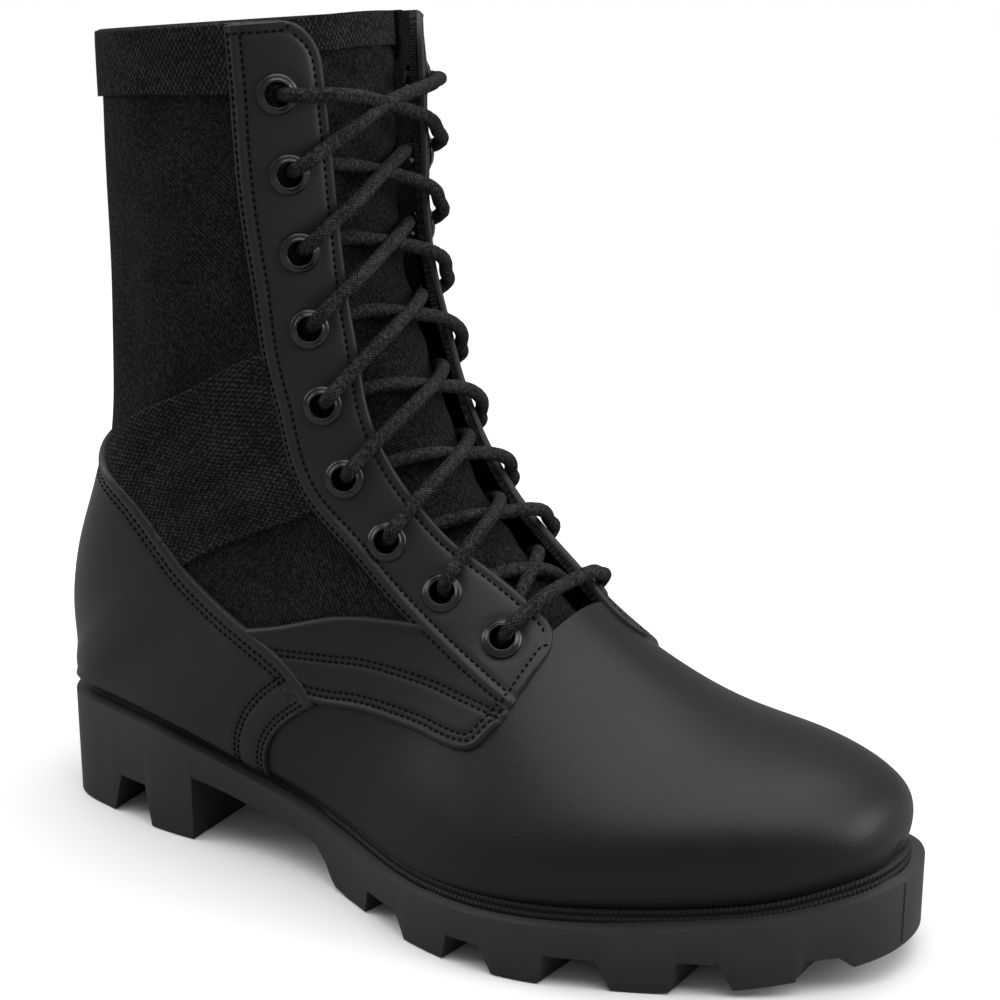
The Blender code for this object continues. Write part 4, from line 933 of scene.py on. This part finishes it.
# Thread
# Black bonded nylon in lock stitches, one every 2.3 mm. Each stitch lies in the groove that it pulls
# into the leather.
STITCH_SIDES = 6
STITCH_RINGS = ((-0.5, 0.35), (-0.3, 0.9), (0.0, 1.0), (0.3, 0.9), (0.5, 0.35))       # along, thickness
stitch_points = np.array([(along_it * STITCH_LENGTH, math.cos(turn) * thick * STITCH_RADIUS,
                           math.sin(turn) * thick * STITCH_RADIUS)
                          for along_it, thick in STITCH_RINGS
                          for turn in np.linspace(0, math.tau, STITCH_SIDES + 1)[:-1]])


def ring_faces(rings, sides):
    """Faces of a closed block through rings of points, with both ends capped."""
    faces = [[ring * sides + k, ring * sides + (k + 1) % sides, (ring + 1) * sides + (k + 1) % sides,
              (ring + 1) * sides + k] for ring in range(rings - 1) for k in range(sides)]
    return faces + [list(range(sides))[::-1], [(rings - 1) * sides + k for k in range(sides)]]


stitch_faces = ring_faces(len(STITCH_RINGS), STITCH_SIDES)
thread_points, thread_faces = [], []
for line, out in stitch_lines:
    path = run_length(line)
    for spot in np.arange(STITCH_PITCH / 2, path[-1], STITCH_PITCH):
        here, ahead, behind = (spread(at, path, line)
                               for at in (spot, spot + STITCH_LENGTH / 2, spot - STITCH_LENGTH / 2))
        forward = ahead - behind
        if np.linalg.norm(forward) < 1e-6:
            continue
        forward /= np.linalg.norm(forward)
        sideways = np.cross(spread(spot, path, out), forward)
        sideways /= np.linalg.norm(sideways)
        axes = np.stack([forward, sideways, np.cross(forward, sideways)])
        start = len(stitch_points) * len(thread_points)
        thread_points.append(stitch_points @ axes + here + BOOT_ORIGIN)
        thread_faces += [[start + k for k in face] for face in stitch_faces]
mesh = bpy.data.meshes.new("thread")
mesh.from_pydata(np.concatenate(thread_points).tolist(), [], thread_faces)
mesh.shade_smooth()
thread = placed("seam_thread", mesh)
# The thread is black nylon, and its colour is darkened further as painted shade that stands in for the shaded
# stitch holes it sits in.
material, nodes, links, shader = surface("black thread with painted hole shade", (0.002, 0.002, 0.002), 0.8, 0.1)
twist = added(nodes, "ShaderNodeTexNoise", Scale=2500)
bump = added(nodes, "ShaderNodeBump", Distance=0.0001)
links.new(twist.outputs["Fac"], bump.inputs["Height"])
links.new(bump.outputs["Normal"], shader.inputs["Normal"])
thread.data.materials.append(material)
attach(thread, "root")

# Tongue
# Padded canvas under the laces, set in under the vamp, with a webbing band round its top edge.
# It lies close to the lacing and its long edges are hidden under the flaps.
TONGUE_WALL, TONGUE_UNDERLAP, TONGUE_GAP, LACE_ROOM = 0.0024, 0.015, 0.0007, 0.0062
TONGUE_ROOT, TONGUE_TOP = 7.3, 0.08
BAND_START = 23.15
TONGUE_ROUND = 0.17        # sections by which its top falls at the edges
TONGUE_PILLOW = 0.0012     # by which its middle stands up
columns = np.linspace(0, 1, 46)[None]


def tongue_shares(rows):
    """Shares of the tongue's points on each side, from under the flap to the ridge."""
    return [1 - (1 - np.interp(rows, SECTIONS, gap_shares[side]) + TONGUE_UNDERLAP / width_of(rows, side))
            * (1 - columns) for side in (-1, 1)]


ends = COLLAR + TONGUE_TOP - TONGUE_ROUND * (1 - columns)**2.2
rows = np.linspace(TONGUE_ROOT, 9, 26)[:-1, None] + 0 * columns
rows = np.concatenate([rows, 9 + (ends - 9) * np.linspace(0, 1, 190)[:, None]])
turn = smooth_share((rows - TONGUE_ROOT) / 1.3)
depth = -(CANVAS_WALL + TONGUE_GAP + (LACE_ROOM - TONGUE_GAP) * turn)
shares = tongue_shares(rows)
pucker = 0.0006 * np.sin(rows * 5.3 + 2 * columns) * np.sin(columns * 9 + rows)
pucker = pucker * smooth_share((rows - 8.8) / 0.8)
pillow = TONGUE_PILLOW * smooth_share((rows - 9) / 2) * columns**2
outer = across_both(rows, shares, depth + pucker + pillow)
inner = across_both(rows, shares, depth - TONGUE_WALL)
tongue = closed_sheet("tongue_pad", outer, inner, None, cloth_map(outer))
tongue.data.materials.append(woven("tongue canvas", (0.0115, 0.0115, 0.0118), 0.00125, 0.00024))
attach(tongue, "root")
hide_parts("tongue")

rows = BAND_START + (ends + 0.01 - BAND_START) * np.linspace(0, 1, 34)[:, None]
shares = tongue_shares(rows)
base = -(CANVAS_WALL + LACE_ROOM) + TONGUE_PILLOW * columns**2
rim = rounded_edge((rows - BAND_START) * 0.03, 0.0008)
outer = across_both(rows, shares, base + 0.0011 * rim)
inner = across_both(rows, shares, base - TONGUE_WALL - 0.0009 * rim)
band = closed_sheet("tongue_binding", outer, inner, None, cloth_map(outer))
band.data.materials.append(webbing)
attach(band, "root")

# Eyelets
# Pressed brass rings with black enamel, nine on each flap. Each has a flat flange with a raised inner
# rim, and a barrel that goes down through the leather, where it is rolled over on the inside.
EYELET_RADIUS, EYELET_RIM = 0.0062, 0.0015
# Share of the radius, height
EYELET_PROFILE = ((1.00, -0.0002), (1.00, 0.0002), (0.97, 0.0005), (0.84, 0.0008), (0.76, 0.0010),
                  (0.72, 0.00135), (0.67, 0.0015), (0.62, 0.0013), (0.59, 0.0007), (0.58, -0.0010),
                  (0.58, -0.0046), (0.66, -0.0052), (0.80, -0.0049), (0.80, -0.0046),
                  (0.67, -0.0046), (0.65, -0.0040), (0.65, -0.0002))
enamel, nodes, links, shader = surface("black enamelled brass", (0.006, 0.006, 0.0065), 0.24, 0.7)
shader.inputs["Metallic"].default_value = 0.25
chips = added(nodes, "ShaderNodeTexNoise", Scale=700, Detail=3)
bump = added(nodes, "ShaderNodeBump", Strength=0.15, Distance=0.0001)
links.new(chips.outputs["Fac"], bump.inputs["Height"])
links.new(bump.outputs["Normal"], shader.inputs["Normal"])
gloss = added(nodes, "ShaderNodeMapRange", To_Min=0.16, To_Max=0.34)
links.new(chips.outputs["Fac"], gloss.inputs["Value"])
links.new(gloss.outputs["Result"], shader.inputs["Roughness"])

bpy.ops.object.select_all(action="DESELECT")
mesh = bpy.data.meshes.new("eyelet")
mesh.from_pydata([(share * EYELET_RADIUS, 0, height) for share, height in EYELET_PROFILE],
                 [(k, (k + 1) % len(EYELET_PROFILE)) for k in range(len(EYELET_PROFILE))], [])
turned = placed("eyelet", mesh)
turned.select_set(True)
bpy.context.view_layer.objects.active = turned
bpy.ops.object.mode_set(mode="EDIT")
bpy.ops.mesh.select_all(action="SELECT")
bpy.ops.mesh.spin(steps=40, angle=math.tau, center=(0, 0, 0), axis=(0, 0, 1))
bpy.ops.mesh.select_all(action="SELECT")
bpy.ops.mesh.remove_doubles(threshold=0.00002)
bpy.ops.mesh.normals_make_consistent(inside=False)
bpy.ops.object.mode_set(mode="OBJECT")
turned.data.shade_smooth()
EYELET_LIFT = PANEL_TOP + 0.0001
for side, label in ((-1, "lateral"), (1, "medial")):
    for number, section in enumerate(eyelet_sections[side]):
        share = float(flap_offset(section, side, EYELET_INSET))
        seat = on_last(section, share, side, EYELET_LIFT)
        axis = Vector(seat - on_last(section, share, side)).normalized()
        ring = placed(f"eyelet_ring_{label}_{number + 1}", turned.data.copy())
        tilt = axis.to_track_quat("Z", "X").to_matrix().to_4x4()
        ring.data.transform(Matrix.Translation(seat + BOOT_ORIGIN) @ tilt)
        ring.data.materials.append(enamel)
        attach(ring, "root")
        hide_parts(f"eyelet_{label}_{number + 1}")
bpy.data.objects.remove(turned, do_unlink=True)

# Lace
# One round braided nylon lace. A straight bar joins the lowest eyelets, then both arms cross up to the
# collar: out through an eyelet, over its flap and under the other. The ends stop at the top eyelets.
LACE_RADIUS = 0.0022
SEATED = PANEL_TOP + EYELET_RIM + LACE_RADIUS + 0.0006
OVER = PANEL_TOP + LACE_RADIUS + 0.0005
UNDER = -(CANVAS_WALL + LACE_RADIUS + 0.0006)
CROSSED, SPANNED = -0.0022, 0.0012         # height midway of a crossing run and of the bar


def lace_run(low, high, side, starts_over, ends_over, lift):
    """Places of one run from an eyelet to one on the other side, as points of the lace's middle."""
    start = float(flap_offset(low, side, EYELET_INSET))
    end = float(flap_offset(high, -side, EYELET_INSET))
    reach = 2 * (1 - start) * float(width_of((low + high) / 2, side))
    edge = EYELET_INSET / reach
    ring = EYELET_RADIUS / reach
    crossing = CROSSED + lift if starts_over != ends_over else SPANNED if starts_over else UNDER
    path = []
    for over, mirrored in ((starts_over, False), (ends_over, True)):
        if over:
            half = [(0.10 * ring, -0.0042), (0.16 * ring, 0.0), (0.34 * ring, 0.0032), (0.85 * ring, SEATED),
                    (1.45 * ring, OVER + 0.0005), (1.02 * edge, OVER + 0.0002),
                    (0.25 + 0.5 * edge, (OVER + crossing) / 2)]
        else:
            half = [(0.08 * ring, -0.0050), (0.5 * ring, UNDER - 0.0004), (0.7 * edge, UNDER),
                    (1.1 * edge, UNDER), (0.25 + 0.5 * edge, (2 * UNDER + crossing) / 3)]
        if mirrored:
            path += [(1 - where, height) for where, height in half[::-1]]
        else:
            path += [*half, (0.5, crossing)]
    points = []
    for where, height in path:
        section = low + (high - low) * where
        if where <= 0.5:
            points.append(on_last(section, start + (1 - start) * 2 * where, side, height))
        else:
            points.append(on_last(section, 1 - (1 - end) * (2 * where - 1), -side, height))
    return points


arms = []
for side in (-1, 1):
    points, here = [], side
    for number in range(EYELETS - 1, 0, -1):
        lift = 0.0012 if here < 0 else -0.0012
        points += lace_run(eyelet_sections[here][number], eyelet_sections[-here][number - 1], here,
                           number < EYELETS - 1, number == 1, lift)
        here = -here
    arms.append(points)
bar = lace_run(eyelet_sections[-1][-1], eyelet_sections[1][-1], -1, True, True, 0.0)
lace_points = np.array(arms[0][::-1] + bar + arms[1])
steps = np.linalg.norm(np.diff(lace_points, axis=0), axis=1)
kept = np.concatenate([[True], steps > 0.0004])
lace_points = lace_points[kept]
knots = np.concatenate([[0], np.cumsum(np.linalg.norm(np.diff(lace_points, axis=0), axis=1) ** 0.75)])
smooth_lace = smooth_curve(knots, lace_points)
dense = smooth_lace(np.linspace(0, knots[-1], 12000))
path = run_length(dense)
LACE_STEP, LACE_SIDES = 0.00055, 22
spots = np.arange(0, path[-1], LACE_STEP)
middle = spread(spots, path, dense)
forward = np.gradient(middle, axis=0)
forward /= np.linalg.norm(forward, axis=1)[:, None]
across = np.zeros_like(forward)
across[0] = np.cross(forward[0], (0, 0, 1))
for k in range(1, len(forward)):
    across[k] = across[k - 1] - forward[k] * (across[k - 1] @ forward[k])
    across[k] /= np.linalg.norm(across[k])
up = np.cross(forward, across)
angle = np.linspace(0, math.tau, LACE_SIDES, endpoint=False)
STRAND = math.pi / 0.0021  # strands cross every two millimetres
weave = np.maximum(np.abs(np.cos(2.5 * angle[None] + STRAND * spots[:, None] / 2)),
                   np.abs(np.cos(2.5 * angle[None] - STRAND * spots[:, None] / 2)))
radius = LACE_RADIUS * (1.04 - 0.16 * (1 - weave))
tube = (middle[:, None] + radius[..., None] * (np.cos(angle)[None, :, None] * across[:, None]
                                               + np.sin(angle)[None, :, None] * up[:, None]))
count = len(spots)
index = np.arange(count * LACE_SIDES).reshape(count, LACE_SIDES)
beside = np.roll(index, -1, axis=1)
faces = np.stack([index[:-1], beside[:-1], beside[1:], index[1:]], -1).reshape(-1, 4).tolist()
faces += [index[0][::-1].tolist(), index[-1].tolist()]
mesh = bpy.data.meshes.new("lace")
mesh.from_pydata((tube.reshape(-1, 3) + BOOT_ORIGIN).tolist(), [], faces)
layer = mesh.uv_layers.new(name="cloth")
spot = np.empty(len(mesh.loops), np.int32)
mesh.loops.foreach_get("vertex_index", spot)
cloth = np.stack([spot % LACE_SIDES * math.tau * LACE_RADIUS / LACE_SIDES, spots[spot // LACE_SIDES]], 1)
layer.data.foreach_set("uv", cloth.astype(np.float32).ravel())


def faced_outward(mesh):
    """Turns all the faces of a closed mesh outwards."""
    work = bmesh.new()
    work.from_mesh(mesh)
    bmesh.ops.recalc_face_normals(work, faces=work.faces)
    work.to_mesh(mesh)
    work.free()


faced_outward(mesh)
mesh.shade_smooth()
lace = placed("lace", mesh)
braid = woven("black braided cord", (0.021, 0.021, 0.0215), 0.0011, 0.00012, fuzz=0.4, roughness=0.8)
lace.data.materials.append(braid)
print("lace length", round(float(path[-1]), 3))
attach(lace, "root")
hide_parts("lace_bar", *[f"lace_crossing_{number}" for number in range(1, EYELETS)])

# Welt
# A black rubber storm strip between outsole and upper: plain and dark from the heel to the waist, and
# milled in two rows of small ribs from the waist round the toe.
WELT_INSET = (0.0030, 0.0045)
RIB_PITCH, RIB_DEPTH = 0.0015, 0.00055
RIBS_START = 0.40          # share of the length
WELT_STEPS = 2000


def round_the_sole(inset, steps):
    """Even steps along the closed edge of the sole moved in by inset: their lengths along it and places."""
    lateral, medial = outline(inset)
    edge = np.concatenate([lateral, medial[::-1][1:-1], lateral[:1]])
    path = run_length(edge)
    spots = np.linspace(0, path[-1], steps, endpoint=False)
    return spots, spread(spots, path, edge)


spots, line = round_the_sole(WELT_INSET, WELT_STEPS)
tangent = np.roll(line, -3, axis=0) - np.roll(line, 3, axis=0)
tangent /= np.linalg.norm(tangent, axis=1)[:, None]
outwards = np.stack([tangent[:, 1], -tangent[:, 0]], 1)
ribbed = smooth_share((line[:, 0] / LENGTH - RIBS_START) / 0.03)
# Its outline from below: outwards, height, ribbed or plain, ribs shifted by
WELT_ROWS = ((-0.010, -0.0002, 0, 0), (0.0, -0.0002, 0, 0), (0.0004, 0.0002, 1, 0), (0.0004, 0.0012, 1, 0),
             (-0.0004, 0.0017, 0, 0), (-0.0004, 0.0021, 0, 0), (0.0002, 0.0026, 1, 0.5),
             (0.0002, 0.0036, 1, 0.5), (-0.0006, 0.0042, 0, 0), (-0.010, 0.0042, 0, 0))
rings = []
for out, height, rib, shift in WELT_ROWS:
    wave = 0.5 + 0.5 * np.cos(math.tau * (spots / RIB_PITCH + shift))
    reach = out - rib * ribbed * RIB_DEPTH * (1 - wave) - (1 - ribbed) * 0.0012 * (out > -0.005)
    spot = line + outwards * reach[:, None]
    rings.append(np.concatenate([spot, (edge_height(line[:, 0]) + FIT_GAP + height)[:, None]], 1))
index = np.arange(len(WELT_ROWS) * WELT_STEPS).reshape(len(WELT_ROWS), WELT_STEPS)
beside = np.roll(index, -1, axis=1)
below = np.roll(index, -1, axis=0)
faces = np.stack([index, beside, np.roll(below, -1, axis=1), below], -1).reshape(-1, 4)
mesh = bpy.data.meshes.new("welt")
mesh.from_pydata((np.concatenate(rings) + BOOT_ORIGIN).tolist(), [], faces.tolist())
faced_outward(mesh)
mesh.shade_smooth()
mesh.set_sharp_from_angle(angle=math.radians(50))
welt = placed("welt_strip", mesh)


def rubber(name, colour, roughness):
    """Black moulded rubber: fine matt mould texture and faint scuffs."""
    material, nodes, links, shader = surface(name, colour, roughness, 0.35)
    where = nodes.new("ShaderNodeTexCoord")
    texture = added(nodes, "ShaderNodeTexNoise", Scale=1100, Detail=3)
    scuffs = added(nodes, "ShaderNodeTexNoise", Scale=45, Detail=5)
    for node in (texture, scuffs):
        links.new(where.outputs["Object"], node.inputs["Vector"])
    bump = added(nodes, "ShaderNodeBump", Strength=0.3, Distance=0.0001)
    links.new(texture.outputs["Fac"], bump.inputs["Height"])
    links.new(bump.outputs["Normal"], shader.inputs["Normal"])
    cloudy(nodes, links, shader, scuffs, (roughness - 0.06, roughness + 0.1), colour, 0.85, 1.15)
    return material


welt.data.materials.append(rubber("welt rubber", (0.008, 0.008, 0.0085), 0.6))
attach(welt, "root")
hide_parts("welt")

# Outsole
# Moulded black rubber with a separate high heel block, an arch and deep angled lugs. Its side wall is
# smooth, the lug edges are slightly rounded, and the mould leaves a thin line down the toe.
HEEL_BREAST, HEEL_BLOCK, HEEL_NOTCH, LUG_DEPTH = 0.0745, 0.0225, 0.0145, 0.0082
# Arch between heel block and ball: share of the length, then height as a share of the heel block
ARCH = ((0.282, 0.889), (0.313, 0.782), (0.346, 0.716), (0.384, 0.640), (0.408, 0.547), (0.4224, 0.351),
        (0.433, 0.124), (0.4396, 0.049), (0.462, 0.000))
# Cuts between the lugs: start and end on the tread as shares of the length, depth as a share of LUG_DEPTH
NOTCHES = ((0.487, 0.557, 0.95), (0.608, 0.665, 1.00), (0.713, 0.776, 1.12), (0.828, 0.881, 1.10),
           (0.930, 0.973, 0.62))
BREAST_HOLLOW, BREAST_SKEW, NOTCH_SKEW, NOTCH_LEAN = 0.005, 0.0085, 0.009, (0.0015, 0.0043)
HEEL_CUT, HEEL_LEAN, RIB, MEDIAL_STAGGER, BELOW = (0.0348, 0.0543), (0.0046, 0.0026), 0.009, 0.009, 0.006
SOLE_STATIONS, SOLE_ROUNDING = 150, 0.0008
MOULD_LINE = (0.3073, 0.0016)              # where the two halves of the mould meet at the toe
MOULD_RIDGE = ((-0.001, -0.0005), (0.00035, -0.0002), (0.00035, 0.0002), (-0.001, 0.0005))   # outwards, aside


def tread_height(x):
    """Height of the tread: on the floor as far as the ball, then rising to the toe."""
    rise = np.clip((np.asarray(x, float) / LENGTH - SPRING_START) / (1 - SPRING_START), 0, 1)
    return TOE_SPRING * rise**1.6


def block(name, rings):
    """Closed block through rings of equally many points, as an object."""
    mesh = bpy.data.meshes.new(name)
    points = np.concatenate([np.array(ring, float) for ring in rings]) + BOOT_ORIGIN
    mesh.from_pydata(points.tolist(), [], ring_faces(len(rings), len(rings[0])))
    faced_outward(mesh)
    return placed(name, mesh)


sole_line = outline((0.0, 0.0))
line = round_the_sole((0.0, 0.0), 2 * SOLE_STATIONS)[1]
sole = block("moulded_outsole", [np.column_stack([line, tread_height(line[:, 0])]),
                                 np.column_stack([line, edge_height(line[:, 0])])])
cutters = []
arch_rings = []
for across, forward in ((-0.6, 0.0), (0.0, -BREAST_HOLLOW), (0.6, BREAST_SKEW)):
    y = across * BALL_WIDTH
    ring = [(HEEL_BREAST + forward, y, -BELOW), (HEEL_BREAST + forward, y, HEEL_BLOCK)]
    ring += [(share * LENGTH, y, height * HEEL_BLOCK) for share, height in ARCH]
    arch_rings.append(ring + [(ARCH[-1][0] * LENGTH + BELOW, y, -BELOW)])
cutters.append(block("arch", arch_rings))


def notch(start, end, depth, lean, skew, side):
    """Wedge from outside the sole in to the rib: wide on the tread, narrow at the top."""
    edge = [np.interp((start + end) / 2, line[:, 0], line[:, 1]) for line in sole_line]
    outer = edge[0] - BELOW if side < 0 else edge[1] + BELOW
    floor_height = float(tread_height((start + end) / 2))
    below = (floor_height + BELOW) / depth
    rings = []
    for y, forward in ((outer, 0.0), (sum(edge) / 2 + side * RIB / 2, skew)):
        rings.append([(start + forward - lean[0] * below, y, -BELOW),
                      (end + forward + lean[1] * below, y, -BELOW),
                      (end + forward - lean[1], y, floor_height + depth),
                      (start + forward + lean[0], y, floor_height + depth)])
    return block("notch", rings)


for side, back in ((-1, 0.0), (1, MEDIAL_STAGGER)):
    cutters.append(notch(*HEEL_CUT, HEEL_NOTCH, HEEL_LEAN, -NOTCH_SKEW / 2, side))
    for number, (start, end, deep) in enumerate(NOTCHES):
        cutters.append(notch(start * LENGTH - back, end * LENGTH - back, deep * LUG_DEPTH, NOTCH_LEAN,
                             NOTCH_SKEW * (1 - 0.2 * number), side))
bpy.ops.object.select_all(action="DESELECT")
bpy.context.view_layer.objects.active = sole
sole.select_set(True)
for cutter in cutters:
    cut = sole.modifiers.new("cut", "BOOLEAN")
    cut.operation, cut.solver, cut.object = "DIFFERENCE", "EXACT", cutter
    bpy.ops.object.modifier_apply(modifier="cut")
    bpy.data.objects.remove(cutter, do_unlink=True)
rounding = sole.modifiers.new("rounding", "BEVEL")
rounding.width, rounding.segments = SOLE_ROUNDING, 2
rounding.limit_method, rounding.angle_limit = "ANGLE", math.radians(38)
bpy.ops.object.modifier_apply(modifier="rounding")
mould_x, mould_y = MOULD_LINE
mould_top, mould_foot = float(edge_height(mould_x)) - 0.0008, float(tread_height(mould_x)) + 0.0012
mould = block("mould_line", [[(mould_x + out, mould_y - wide, height) for out, wide in MOULD_RIDGE]
                             for height in (mould_foot, mould_top)])
mould.select_set(True)
bpy.ops.object.join()
sole.data.shade_smooth()
sole.data.set_sharp_from_angle(angle=math.radians(30))
sole.data.materials.append(rubber("outsole rubber", (0.031, 0.031, 0.0316), 0.55))
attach(sole, "root")
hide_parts("outsole")

# Insole
# A cloth-covered foam footbed inside the boot, seen only from above.
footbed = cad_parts["insole"]
footbed.data.materials.clear()
footbed.data.materials.append(woven("footbed cloth", (0.012, 0.012, 0.012), 0.0012, 0.0002))

size = {"cad": [list(corner) for corner in cad_size], "scene": [list(corner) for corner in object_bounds()]}
